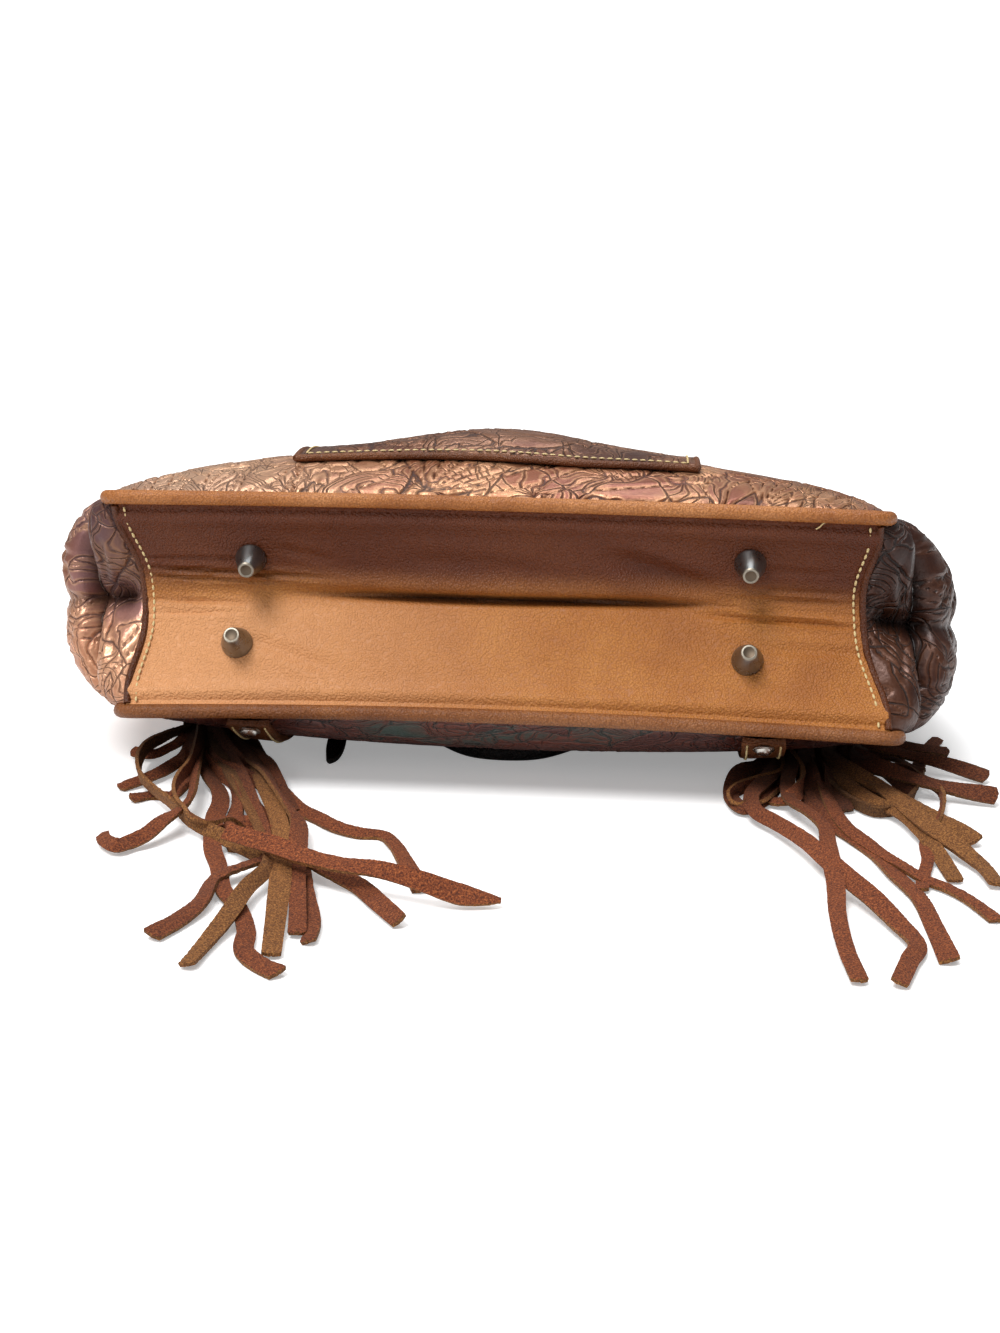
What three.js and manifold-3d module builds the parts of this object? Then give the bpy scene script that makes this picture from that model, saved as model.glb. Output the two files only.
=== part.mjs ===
// A tooled leather tote purse, lying on its front with its underside towards -Y.
// Millimetres, +Z up. The purse is drawn in its own directions first:
// u runs across it, v from the base to the mouth, and w from the front to the back.
import * as THREE from 'three';
import { mergeVertices } from 'three/addons/utils/BufferGeometryUtils.js';
import Module from 'manifold-3d';

const wasm = await Module();
wasm.setup();

// Driving dimensions of the body
const BASE_WIDTH = 320;
const BASE_DEPTH = 88;
const BAG_HEIGHT = 260;
const MOUTH_DEPTH = 30;
const MOUTH_FLARE = 7;
const WALL = 2.2;
const SEAM_GAP = 0.35;
const FACET_CLEAR = 0.3;
const CORNER_RADIUS = 9;
const VALLEY_DEPTH = 16;
const VALLEY_END_PULL = 7;
const FRONT_BELLY = 17;
const BACK_BELLY = 29;
const LEFT_BULGE = 33;
const RIGHT_BULGE = 30;
const FRONT_BOW = -3.5;
const BACK_BOW = 1.5;
const GUSSET_SEAM = 27;
const GUSSET_FOLD = 36;
const GUSSET_LAP = 6;

// Trim and fittings
const PIPING_DIAMETER = 6;
const FOOT_DIAMETER = 13;
const FOOT_TIP = 6.6;
const FOOT_HEIGHT = 12;
const FOOT_RIM = 1.2;
const FOOT_SPACING = 205;
const STRAP_WIDTH = 18;
const STRAP_WALL = 2.5;
const STRAP_SPACING = 212;
const STRAP_REACH = 224;
const RIVET_DIAMETER = 9;
const RIVET_HEIGHT = 2.6;
const RIVET_ALONG = 11;
const HANDLE_DIAMETER = 8;
const POCKET_WIDTH = 168;
const POCKET_LOW = 31;
const POCKET_HEIGHT = 163;
const POCKET_SLACK = 9;
const POCKET_DIP = 4;
const POCKET_CLEAR = 0.7;
const POCKET_FULL_FROM = 0.12;
const POCKET_FULL_RUN = 0.62;
const TAB_LENGTH = 30;
const TAB_WIDTH = 8;
const TAB_ACROSS = -79;
const TAB_ALONG = 76;

// Fringe
const STRIP_WIDTH = 5.5;
const STRIP_WALL = 1.6;
const STRIP_LENGTH = 240;
const HEAD_WIDTH = 28;
const HEAD_LENGTH = 20;
const HEAD_HEIGHT = 6.5;
const HEAD_ALONG = 42;
const HEAD_SHIFT = 14;
const NECK_WIDTH = 12;
const NECK_REACH = 22;

// How the purse lies: the angle from the floor to its middle plane, and its skew to the left
const REST_ANGLE = THREE.MathUtils.degToRad(10.6);
const SKEW = 0.08;
const SETTLE = 2.5;

// Finishes, one for each kind of surface
const FINISHES = {
  base_leather: { color: 0x9a6238, roughness: 0.5, metalness: 0 },
  tooled_leather: { color: 0x7d4a2b, roughness: 0.45, metalness: 0.1 },
  painted_leather: { color: 0x54241f, roughness: 0.5, metalness: 0 },
  piping_leather: { color: 0x8a5230, roughness: 0.5, metalness: 0 },
  strap_leather: { color: 0x4a2a1c, roughness: 0.5, metalness: 0 },
  handle_leather: { color: 0x241a16, roughness: 0.45, metalness: 0 },
  suede: { color: 0x9c4a24, roughness: 0.95, metalness: 0 },
  gunmetal: { color: 0x77726c, roughness: 0.35, metalness: 1 },
};

const halfWidth = BASE_WIDTH / 2;
const halfDepth = BASE_DEPTH / 2;
const pipingRadius = PIPING_DIAMETER / 2;
const handleRadius = HANDLE_DIAMETER / 2;
const edgeInset = pipingRadius + SEAM_GAP + FACET_CLEAR;
const cornerArc = CORNER_RADIUS * Math.PI / 2;
const { lerp, smoothstep, clamp } = THREE.MathUtils;

// Sections up the purse: how far up, how deep the side seams are from base (1) to mouth (0),
// and how full each side is, as shares of the named sizes
const SECTIONS = [
  { height: 0.00, depth: 1.00, front: 0.00, back: 0.00, side: 0.30 },
  { height: 0.06, depth: 1.00, front: 0.42, back: 0.38, side: 0.48 },
  { height: 0.14, depth: 0.97, front: 0.80, back: 0.72, side: 0.80 },
  { height: 0.24, depth: 0.88, front: 1.00, back: 0.96, side: 1.00 },
  { height: 0.36, depth: 0.74, front: 0.96, back: 1.00, side: 1.00 },
  { height: 0.55, depth: 0.48, front: 0.76, back: 0.84, side: 0.82 },
  { height: 0.78, depth: 0.20, front: 0.50, back: 0.52, side: 0.52 },
  { height: 1.00, depth: 0.00, front: 0.33, back: 0.36, side: 0.34 },
];

// Where the valley of the base lies between the front (-1) and the back (1) seam
const VALLEY_LINE = [
  { across: -1.0, place: 0.09 },
  { across: -0.5, place: 0.11 },
  { across: 0.0, place: 0.09 },
  { across: 0.5, place: 0.12 },
  { across: 1.0, place: 0.09 },
];

// A smooth value between the rows of a table
function follow(rows, key, column) {
  const spline = new THREE.CubicInterpolant(
    rows.map((row) => row[key]), rows.map((row) => row[column]), 1);
  return (at) => spline.evaluate(clamp(at, rows[0][key], rows.at(-1)[key]))[0];
}

const sectionDepth = follow(SECTIONS, 'height', 'depth');
const fullness = {
  front: follow(SECTIONS, 'height', 'front'),
  back: follow(SECTIONS, 'height', 'back'),
  side: follow(SECTIONS, 'height', 'side'),
};
const valleyPlace = follow(VALLEY_LINE, 'across', 'place');
const SIDES = {
  front: { sign: -1, belly: FRONT_BELLY, bow: FRONT_BOW },
  back: { sign: 1, belly: BACK_BELLY, bow: BACK_BOW },
};

// Half the width between the side seams, with the round corners at the base
function seamHalfWidth(v) {
  const straight = halfWidth + MOUTH_FLARE * v / BAG_HEIGHT;
  if (v >= CORNER_RADIUS) return straight;
  const rise = CORNER_RADIUS - v;
  return straight - CORNER_RADIUS + Math.sqrt(CORNER_RADIUS ** 2 - rise ** 2);
}

// Depth of a seam from the middle plane
function seamDepth(side, u, v) {
  const plain = lerp(MOUTH_DEPTH / 2, halfDepth, sectionDepth(v / BAG_HEIGHT));
  const bow = side.bow * Math.max(0, 1 - (u / halfWidth) ** 2) * (1 - smoothstep(v, 0, GUSSET_FOLD));
  return plain + bow;
}

// A point of a large panel: turn goes from -90 to 90 degrees across it
function panelPoint(name, turn, v) {
  const side = SIDES[name];
  const u = seamHalfWidth(v) * Math.sin(turn);
  const swell = side.belly * fullness[name](v / BAG_HEIGHT) * Math.cos(turn);
  return new THREE.Vector3(u, v, side.sign * (seamDepth(side, u, v) + swell));
}

// The height of the base above the floor puts the belly just over the handle under it
function tiltedHeight(point) {
  return point.z * Math.cos(REST_ANGLE) - point.y * Math.sin(REST_ANGLE);
}

function bellyLow() {
  let low = 0;
  for (let step = 0; step <= 40; step += 1) {
    low = Math.min(low, tiltedHeight(panelPoint('front', 0, BAG_HEIGHT * step / 40)));
  }
  return low;
}

const restClear = HANDLE_DIAMETER + SEAM_GAP + WALL / 2;
const baseLift = restClear - bellyLow() - SETTLE;

// Turns a point of the purse's own directions to where it lies
function lay(point) {
  return new THREE.Vector3(
    point.x - SKEW * point.z,
    point.y * Math.cos(REST_ANGLE) + point.z * Math.sin(REST_ANGLE),
    baseLift + tiltedHeight(point));
}

// The same, flattened where the leather rests on the handle
function laySettled(point) {
  const laid = lay(point);
  laid.z = Math.max(laid.z, restClear);
  return laid;
}

// A point of a seam in its own directions: run is the length along it from the corner's start
function seamPoint(name, run, end) {
  const side = SIDES[name];
  let u = halfWidth - CORNER_RADIUS;
  let v = 0;
  if (run < 0) {
    u += run;
  } else if (run < cornerArc) {
    const angle = run / CORNER_RADIUS;
    u += CORNER_RADIUS * Math.sin(angle);
    v = CORNER_RADIUS * (1 - Math.cos(angle));
  } else {
    v = CORNER_RADIUS + run - cornerArc;
    u = seamHalfWidth(v);
  }
  return new THREE.Vector3(end * u, v, side.sign * seamDepth(side, end * u, v));
}

const seamRun = BAG_HEIGHT - CORNER_RADIUS + cornerArc;
const seamHalfLength = halfWidth - CORNER_RADIUS + seamRun;

// Steps of the piping from the middle of the base to the mouth, close together at the corner
const BASE_STEPS = 9;
const CORNER_STEPS = 7;
const SIDE_STEPS = 12;
const PIPING_STEPS = 2 * (BASE_STEPS + CORNER_STEPS + SIDE_STEPS);
const straightLength = halfWidth - CORNER_RADIUS;

function seamAlong(steps) {
  if (steps < BASE_STEPS) return straightLength * steps / BASE_STEPS;
  if (steps < BASE_STEPS + CORNER_STEPS) {
    return straightLength + cornerArc * (steps - BASE_STEPS) / CORNER_STEPS;
  }
  const side = (steps - BASE_STEPS - CORNER_STEPS) / SIDE_STEPS;
  return lerp(straightLength + cornerArc, seamHalfLength, side);
}

class SeamCurve extends THREE.Curve {
  constructor(name) {
    super();
    this.name = name;
  }

  getPoint(share) {
    const along = (share * 2 - 1) * seamHalfLength;
    const end = Math.sign(along) || 1;
    const point = lay(seamPoint(this.name, Math.abs(along) - straightLength, end));
    return this.name === 'front' ? point.setZ(Math.max(point.z, restClear)) : point;
  }

  getUtoTmapping(share) {
    const along = seamAlong(Math.abs(share * 2 - 1) * PIPING_STEPS / 2) / seamHalfLength;
    return (1 + Math.sign(share * 2 - 1) * along) / 2;
  }
}

const seamCurves = { front: new SeamCurve('front'), back: new SeamCurve('back') };
const seamSamples = {
  front: seamCurves.front.getPoints(500),
  back: seamCurves.back.getPoints(500),
};

function seamDistance(name, point) {
  return Math.min(...seamSamples[name].map((sample) => sample.distanceTo(point)));
}

// The share of a line where it has got clear of a seam
function clearShare(line, name, inset, from, to) {
  let near = from;
  let far = to;
  for (let step = 0; step < 16; step += 1) {
    const middle = (near + far) / 2;
    if (seamDistance(name, line(middle)) < inset) near = middle;
    else far = middle;
  }
  return far;
}

// Points spaced along a line, trimmed clear of a seam at each end
function trimmed(line, startName, endName, inset, count) {
  const start = clearShare(line, startName, inset, 0, 0.5);
  const end = clearShare(line, endName, inset, 1, 0.5);
  return Array.from({ length: count + 1 }, (_, i) => {
    const half = 2 * i / count;
    return line(half < 1 ? lerp(start, 0.5, half) : lerp(0.5, end, half - 1));
  });
}

// Normals of a grid of points, one for each point
function gridNormals(grid) {
  const last = grid.length - 1;
  const end = grid[0].length - 1;
  return grid.map((row, r) => row.map((_, c) => {
    const along = grid[Math.min(r + 1, last)][c].clone().sub(grid[Math.max(r - 1, 0)][c]);
    const across = row[Math.min(c + 1, end)].clone().sub(row[Math.max(c - 1, 0)]);
    return across.cross(along).normalize();
  }));
}

// A closed wall of even thickness around a grid of points
function wallGeometry(grid, thickness, normals = gridNormals(grid)) {
  const rows = grid.length;
  const columns = grid[0].length;
  const positions = [];
  for (const half of [thickness / 2, -thickness / 2]) {
    grid.forEach((row, r) => row.forEach((point, c) => {
      positions.push(...point.clone().addScaledVector(normals[r][c], half));
    }));
  }
  const index = [];
  const at = (layer, r, c) => layer * rows * columns + r * columns + c;
  const quad = (a, b, c, d) => index.push(a, b, c, a, c, d);
  for (let r = 0; r < rows - 1; r += 1) {
    for (let c = 0; c < columns - 1; c += 1) {
      quad(at(0, r, c), at(0, r, c + 1), at(0, r + 1, c + 1), at(0, r + 1, c));
      quad(at(1, r, c), at(1, r + 1, c), at(1, r + 1, c + 1), at(1, r, c + 1));
    }
  }
  for (let c = 0; c < columns - 1; c += 1) {
    quad(at(0, 0, c), at(1, 0, c), at(1, 0, c + 1), at(0, 0, c + 1));
    quad(at(0, rows - 1, c + 1), at(1, rows - 1, c + 1), at(1, rows - 1, c), at(0, rows - 1, c));
  }
  for (let r = 0; r < rows - 1; r += 1) {
    quad(at(0, r + 1, 0), at(1, r + 1, 0), at(1, r, 0), at(0, r, 0));
    quad(at(0, r, columns - 1), at(1, r, columns - 1), at(1, r + 1, columns - 1), at(0, r + 1, columns - 1));
  }
  const geometry = new THREE.BufferGeometry();
  geometry.setAttribute('position', new THREE.Float32BufferAttribute(positions, 3));
  geometry.setIndex(index);
  geometry.computeVertexNormals();
  return geometry;
}

const part = new THREE.Group();
const body = new THREE.Group();
part.add(body);

function add(name, finish, geometry) {
  const mesh = new THREE.Mesh(geometry, new THREE.MeshStandardMaterial(FINISHES[finish]));
  mesh.name = name;
  body.add(mesh);
  return mesh;
}

// Panels: the rows are shared with what is sewn on them, so that the walls run side by side
const PANEL_ROWS = 13;
const PANEL_COLUMNS = 12;
const panelStart = edgeInset;

function panelRow(i) {
  return lerp(panelStart, BAG_HEIGHT, i / PANEL_ROWS);
}

function panelLine(name, v) {
  const settle = name === 'front' ? laySettled : lay;
  return (share) => settle(panelPoint(name, (share - 0.5) * Math.PI, v));
}

function panelGrid(name) {
  return Array.from({ length: PANEL_ROWS + 1 }, (_, i) => trimmed(
    panelLine(name, panelRow(i)), name, name, edgeInset, PANEL_COLUMNS));
}

add('back_panel', 'tooled_leather', wallGeometry(panelGrid('back'), WALL));
add('front_panel', 'painted_leather', wallGeometry(panelGrid('front').map((row) => row.reverse()), WALL));

// Piping round both panels
const pipingSection = new THREE.Shape();
pipingSection.absarc(0, 0, pipingRadius, 0, Math.PI * 2);

for (const name of ['back', 'front']) {
  add(`piping_${name}`, 'piping_leather', new THREE.ExtrudeGeometry(pipingSection, {
    steps: PIPING_STEPS, curveSegments: 4, extrudePath: seamCurves[name],
  }));
}

// Base: two flat halves that fold inwards to the valley
const CREASE_ROUND = 0.09;

function foldShare(place, crease) {
  const away = place < crease ? (crease - place) / (crease + 1) : (place - crease) / (1 - crease);
  const edge = Math.hypot(1, CREASE_ROUND);
  return (edge - Math.hypot(away, CREASE_ROUND)) / (edge - CREASE_ROUND);
}

// The place from the front (-1) to the back (1) seam, with the crease at half of the share
function foldPlace(share, crease) {
  return share < 0.5 ? lerp(-1, crease, share * 2) : lerp(crease, 1, share * 2 - 1);
}

function basePoint(u, place) {
  const share = u / halfWidth;
  const fold = foldShare(place, valleyPlace(share));
  const pull = VALLEY_END_PULL * fold * smoothstep(Math.abs(share), 0.6, 1);
  const front = seamDepth(SIDES.front, u, 0);
  const back = seamDepth(SIDES.back, u, 0);
  return new THREE.Vector3(
    u - Math.sign(u) * pull,
    VALLEY_DEPTH * fold,
    lerp(-front, back, (place + 1) / 2));
}

const BASE_ROWS = 12;
const BASE_PLACES = 12;
const baseReach = halfWidth - CORNER_RADIUS / 2;

function baseGrid() {
  return Array.from({ length: BASE_ROWS + 1 }, (_, i) => {
    const u = lerp(-baseReach, baseReach, i / BASE_ROWS);
    const line = (share) => lay(basePoint(u, foldPlace(share, valleyPlace(u / halfWidth))));
    return trimmed(line, 'front', 'back', edgeInset, BASE_PLACES);
  });
}

add('base_panel', 'base_leather', wallGeometry(baseGrid(), WALL));

// Gussets start under the base's hem, follow its fold, then swell outwards
const lapDrop = (WALL + SEAM_GAP + FACET_CLEAR) / Math.cos(Math.atan(VALLEY_DEPTH / halfDepth));

function gussetPoint(end, bulge, run, share) {
  const seam = seamPoint('back', run, 1);
  const open = smoothstep(run, 0, GUSSET_FOLD);
  const crease = lerp(valleyPlace(end * seam.x / halfWidth), 0, open);
  const place = foldPlace((1 + Math.sin((share - 0.5) * Math.PI)) / 2, crease);
  const fold = foldShare(place, crease);
  const round = Math.sqrt(Math.max(0, 1 - place ** 2));
  const swell = bulge * fullness.side(seam.y / BAG_HEIGHT) * round * open;
  const pulled = VALLEY_END_PULL * fold * (1 - open);
  const front = seamDepth(SIDES.front, seam.x, seam.y);
  const back = seamDepth(SIDES.back, seam.x, seam.y);
  return new THREE.Vector3(
    end * (seam.x + swell - pulled),
    seam.y + (VALLEY_DEPTH * fold + lapDrop) * (1 - open),
    lerp(-front, back, (place + 1) / 2));
}

const GUSSET_PLACES = 10;

function gussetGrid(end, bulge, from, to, rows) {
  return Array.from({ length: rows + 1 }, (_, i) => {
    const run = lerp(from, to, i / rows);
    const inset = run < cornerArc ? edgeInset + WALL / 2 : edgeInset;
    const line = (share) => lay(gussetPoint(end, bulge, run, share));
    return trimmed(line, 'front', 'back', inset, GUSSET_PLACES);
  });
}

for (const [label, end, bulge] of [['left', -1, LEFT_BULGE], ['right', 1, RIGHT_BULGE]]) {
  const facing = (grid) => (end > 0 ? grid.map((row) => row.reverse()) : grid);
  const lower = gussetGrid(end, bulge, -GUSSET_LAP, GUSSET_SEAM, 6);
  const upper = gussetGrid(end, bulge, GUSSET_SEAM + SEAM_GAP + FACET_CLEAR, seamRun, 9);
  add(`gusset_${label}_lower`, 'tooled_leather', wallGeometry(facing(lower), WALL));
  add(`gusset_${label}_upper`, 'tooled_leather', wallGeometry(facing(upper), WALL));
}

// Feet: cones on the two slopes of the base
const footProfile = [
  [0, 0], [FOOT_DIAMETER / 2, 0], [FOOT_DIAMETER / 2, FOOT_RIM], [FOOT_TIP / 2, FOOT_HEIGHT],
  [0, FOOT_HEIGHT],
].map(([x, y]) => new THREE.Vector2(x, y));

function seatOn(mesh, point, outward, lift) {
  mesh.position.copy(point).addScaledVector(outward, lift);
  mesh.quaternion.setFromUnitVectors(new THREE.Vector3(0, 1, 0), outward);
}

function baseOutward(u, place) {
  const along = lay(basePoint(u + 1, place)).sub(lay(basePoint(u - 1, place)));
  const across = lay(basePoint(u, place + 0.02)).sub(lay(basePoint(u, place - 0.02)));
  return along.cross(across).normalize();
}

// Where the feet are: across in shares of half the spacing, place from front (-1) to back (1)
const FEET = [
  { across: -0.99, place: 0.45 },
  { across: 1.01, place: 0.54 },
  { across: -1.07, place: -0.38 },
  { across: 0.98, place: -0.39 },
];
FEET.forEach(({ across, place }, i) => {
  const u = across * FOOT_SPACING / 2;
  const foot = add(`foot_${i + 1}`, 'gunmetal', new THREE.LatheGeometry(footProfile, 12));
  seatOn(foot, lay(basePoint(u, place)), baseOutward(u, place), WALL / 2 + SEAM_GAP);
});

// A point over the outside of a panel, with the direction away from it
function panelTurn(u, v) {
  return Math.asin(clamp(u / seamHalfWidth(v), -1, 1));
}

function overPanel(name, u, v) {
  const settle = name === 'front' ? laySettled : lay;
  const at = (du, dv) => settle(panelPoint(name, panelTurn(u + du, v + dv), v + dv));
  const along = at(0, 1).sub(at(0, -1));
  const across = at(1, 0).sub(at(-1, 0));
  const outward = across.cross(along).normalize().multiplyScalar(SIDES[name].sign);
  return { point: at(0, 0), outward };
}

function onPanel(name, u, v, lift) {
  const { point, outward } = overPanel(name, u, v);
  return point.addScaledVector(outward, lift);
}

// Straps sewn into the front piping and run up the front, each with a rivet
const strapLift = (WALL + STRAP_WALL) / 2 + SEAM_GAP + FACET_CLEAR;
const strapRows = [PIPING_DIAMETER + 1, RIVET_ALONG];
for (let i = 1; panelRow(i) < STRAP_REACH - 1; i += 1) {
  if (panelRow(i) > RIVET_ALONG + 1) strapRows.push(panelRow(i));
}
strapRows.push(STRAP_REACH);

const rivetProfile = [
  [0, 0], [RIVET_DIAMETER / 2, 0], [RIVET_DIAMETER * 0.46, RIVET_HEIGHT * 0.45],
  [RIVET_DIAMETER * 0.28, RIVET_HEIGHT * 0.9], [0, RIVET_HEIGHT],
].map(([x, y]) => new THREE.Vector2(x, y));

for (const [label, end] of [['left', -1], ['right', 1]]) {
  const middle = end * STRAP_SPACING / 2;
  const grid = strapRows.map((v) => [1, 0, -1].map(
    (share) => onPanel('front', middle + share * STRAP_WIDTH / 2, v, strapLift)));
  add(`strap_${label}`, 'strap_leather', wallGeometry(grid, STRAP_WALL));
  const rivet = add(`rivet_${label}`, 'gunmetal', new THREE.LatheGeometry(rivetProfile, 10));
  const { point, outward } = overPanel('front', middle, RIVET_ALONG);
  seatOn(rivet, point, outward, strapLift + STRAP_WALL / 2 + SEAM_GAP);
}

// Pocket: a slack patch over the back panel, sewn at the sides and low edge, open at the top
const POCKET_ROWS = 10;
const POCKET_PLACES = 10;
const pocketGrid = Array.from({ length: POCKET_ROWS + 1 }, (_, i) => {
  const up = i / POCKET_ROWS;
  return Array.from({ length: POCKET_PLACES + 1 }, (_, k) => {
    const across = k / POCKET_PLACES * 2 - 1;
    const fullAt = Math.sin(Math.PI * (POCKET_FULL_FROM + POCKET_FULL_RUN * up));
    const wide = lerp(Math.cos(Math.PI * across / 2) ** 3, 1 - across ** 4, smoothstep(up, 0.2, 0.8));
    const sewn = up === 0 ? 0 : POCKET_SLACK * wide * fullAt;
    const dip = POCKET_DIP * Math.exp(-(((across - 0.45) / 0.35) ** 2)) * (1 - up);
    return onPanel('back', across * POCKET_WIDTH / 2, POCKET_LOW + up * POCKET_HEIGHT - dip,
      WALL + POCKET_CLEAR + sewn);
  });
});
add('back_pocket', 'tooled_leather', wallGeometry(pocketGrid, WALL));

// Handles: rolled leather, with the same spacing as the straps
// across is a share of half the spacing, along of the strap's reach or of the height,
// and hang is 1 along the outside of the panel and 0 on the floor
const FRONT_HANDLE = [
  { across: 1.00, along: 1.00, hang: 1 },
  { across: 1.01, along: 1.09, hang: 0.6 },
  { across: 0.97, along: 1.19, hang: 0 },
  { across: 0.80, along: 1.235, hang: 0 },
  { across: 0.66, along: 1.16, hang: 0 },
  { across: 0.62, along: 1.02, hang: 0 },
  { across: 0.59, along: 0.84, hang: 0 },
  { across: 0.54, along: 0.68, hang: 0 },
  { across: 0.46, along: 0.53, hang: 0 },
  { across: 0.36, along: 0.40, hang: 0 },
  { across: 0.25, along: 0.30, hang: 0 },
  { across: 0.11, along: 0.235, hang: 0 },
];
const BACK_HANDLE = [
  { across: 1.00, along: 0.86, hang: 1 },
  { across: 1.00, along: 0.94, hang: 1 },
  { across: 1.01, along: 1.03, hang: 0.97 },
  { across: 1.03, along: 1.12, hang: 0.78 },
  { across: 1.05, along: 1.20, hang: 0.42 },
  { across: 1.06, along: 1.28, hang: 0.1 },
  { across: 1.04, along: 1.38, hang: 0 },
  { across: 0.96, along: 1.52, hang: 0 },
  { across: 0.78, along: 1.68, hang: 0 },
  { across: 0.50, along: 1.80, hang: 0 },
  { across: 0.24, along: 1.85, hang: 0 },
];

const handleLift = WALL / 2 + handleRadius + SEAM_GAP + FACET_CLEAR;
const handleStart = STRAP_REACH + SEAM_GAP;

function handlePoint(name, row, end) {
  const u = end * row.across * STRAP_SPACING / 2;
  const v = row.along * (name === 'front' ? handleStart : BAG_HEIGHT);
  const held = onPanel(name, u, Math.min(v, BAG_HEIGHT), handleLift);
  const free = lay(new THREE.Vector3(u, v, 0));
  const beyond = Math.max(0, v - BAG_HEIGHT) * Math.cos(REST_ANGLE);
  const place = new THREE.Vector3(held.x, held.y + beyond, held.z);
  return place.lerp(new THREE.Vector3(free.x, free.y, handleRadius), 1 - row.hang);
}

// A handle's route, kept from sinking into the floor
class HandleCurve extends THREE.CatmullRomCurve3 {
  getPoint(share, target) {
    const point = super.getPoint(share, target);
    return point.setZ(Math.max(point.z, handleRadius));
  }
}

const handleSection = new THREE.Shape();
handleSection.absarc(0, 0, handleRadius, 0, Math.PI * 2);

for (const [name, rows, steps] of [['front', FRONT_HANDLE, 48], ['back', BACK_HANDLE, 38]]) {
  const there = rows.map((row) => handlePoint(name, row, -1));
  const back = rows.map((row) => handlePoint(name, row, 1)).reverse();
  const route = new HandleCurve([...there, ...back], false, 'centripetal');
  add(`handle_${name}`, 'handle_leather', new THREE.ExtrudeGeometry(handleSection, {
    steps, curveSegments: 4, extrudePath: route,
  }));
}

// Pull tab: a small leaf that hangs from the front panel to the floor
const TAB_ROWS = 6;
const tabGrid = Array.from({ length: TAB_ROWS + 1 }, (_, i) => {
  const along = i / TAB_ROWS;
  const root = onPanel('front', TAB_ACROSS, TAB_ALONG, WALL + SEAM_GAP + FACET_CLEAR);
  const half = TAB_WIDTH / 2 * (0.25 + 0.75 * Math.sin(Math.PI * Math.min(1, along * 0.8 + 0.18)));
  const z = lerp(root.z, WALL / 2, smoothstep(along, 0, 0.8));
  return [1, 0, -1].map((share) => new THREE.Vector3(root.x + share * half, root.y - along * TAB_LENGTH, z));
});
add('pull_tab', 'handle_leather', wallGeometry(tabGrid, WALL));

// Tassels: strips of suede on the floor, fused to a head under each strap.
// across and along are the root's place as shares of half the head, root to tip are directions
// in degrees from straight forwards (-Y) towards +X, length is a share of the longest strip,
// and twist stands the strip on its edge
const LEFT_STRIPS = [
  { across: -0.36, along: 0.5, root: 36, first: 30, second: 50, tip: 20, length: 0.78, twist: 50 },
  { across: -0.79, along: 0.2, root: 18, first: 22, second: 57, tip: 66, length: 0.97, twist: 46 },
  { across: 0.29, along: -0.5, root: 22, first: 20, second: 40, tip: 31, length: 0.82, twist: 30 },
  { across: 0.43, along: -0.5, root: 20, first: 20, second: 10, tip: 8, length: 0.93, twist: 8 },
  { across: 0.57, along: -0.4, root: 30, first: 19, second: 12, tip: 10, length: 0.89, twist: 10 },
  { across: -0.29, along: -0.6, root: 2, first: 12, second: 22, tip: 32, length: 1.01, twist: 22 },
  { across: 0, along: -0.5, root: 14, first: 20, second: 0, tip: -12, length: 0.85, twist: 34 },
  { across: 0.14, along: -0.5, root: 18, first: 18, second: 0, tip: -4, length: 0.96, twist: 20 },
  { across: -0.79, along: 0.1, root: 12, first: 8, second: -6, tip: -70, length: 0.47, twist: 48 },
  { across: -0.79, along: 0.2, root: 0, first: 0, second: -30, tip: -75, length: 0.32, twist: 44 },
  { across: -0.79, along: 0.3, root: -28, first: -22, second: -30, tip: -28, length: 0.25, twist: 40 },
  { across: -0.79, along: 0.4, root: -66, first: -60, second: -80, tip: -100, length: 0.15, twist: 36 },
  { across: -0.79, along: 0.4, root: -95, first: 20, second: 48, tip: 66, length: 0.62, twist: 52 },
];
const RIGHT_STRIPS = [
  { across: -0.29, along: -0.5, root: -35, first: -60, second: 10, tip: 150, length: 0.35, twist: 50 },
  { across: -0.57, along: -0.5, root: -24, first: 10, second: 24, tip: -14, length: 0.93, twist: 14 },
  { across: 0.07, along: -0.6, root: 5, first: 10, second: -4, tip: 5, length: 0.91, twist: 8 },
  { across: 0.36, along: -0.5, root: 14, first: 15, second: 12, tip: 2, length: 0.84, twist: 12 },
  { across: 0.57, along: -0.5, root: 12, first: 16, second: 23, tip: 28, length: 0.7, twist: 22 },
  { across: 0.71, along: -0.3, root: 44, first: 28, second: 6, tip: 12, length: 0.55, twist: 20 },
  { across: 0.79, along: 0, root: 90, first: 10, second: -16, tip: -8, length: 0.69, twist: 24 },
  { across: 0.79, along: -0.2, root: 60, first: 50, second: 22, tip: 26, length: 0.41, twist: 30 },
  { across: 0.71, along: -0.3, root: 52, first: 38, second: 14, tip: 10, length: 0.57, twist: 24 },
  { across: 0.79, along: 0.1, root: 88, first: 84, second: 56, tip: 66, length: 0.33, twist: 44 },
  { across: 0.71, along: 0.4, root: 120, first: 100, second: 62, tip: 80, length: 0.33, twist: 46 },
  { across: 0.64, along: 0.5, root: 138, first: 122, second: 92, tip: 68, length: 0.31, twist: 48 },
  { across: 0.64, along: -0.1, root: 20, first: 75, second: 158, tip: 165, length: 0.48, twist: 52 },
];
const STRIP_STEPS = 6;
const STRIP_LAYERS = 3;

// The floor point that lies straight under a place of the purse
function floorUnder(u, v) {
  return lay(new THREE.Vector3(u, v, 0)).setZ(0);
}

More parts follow.
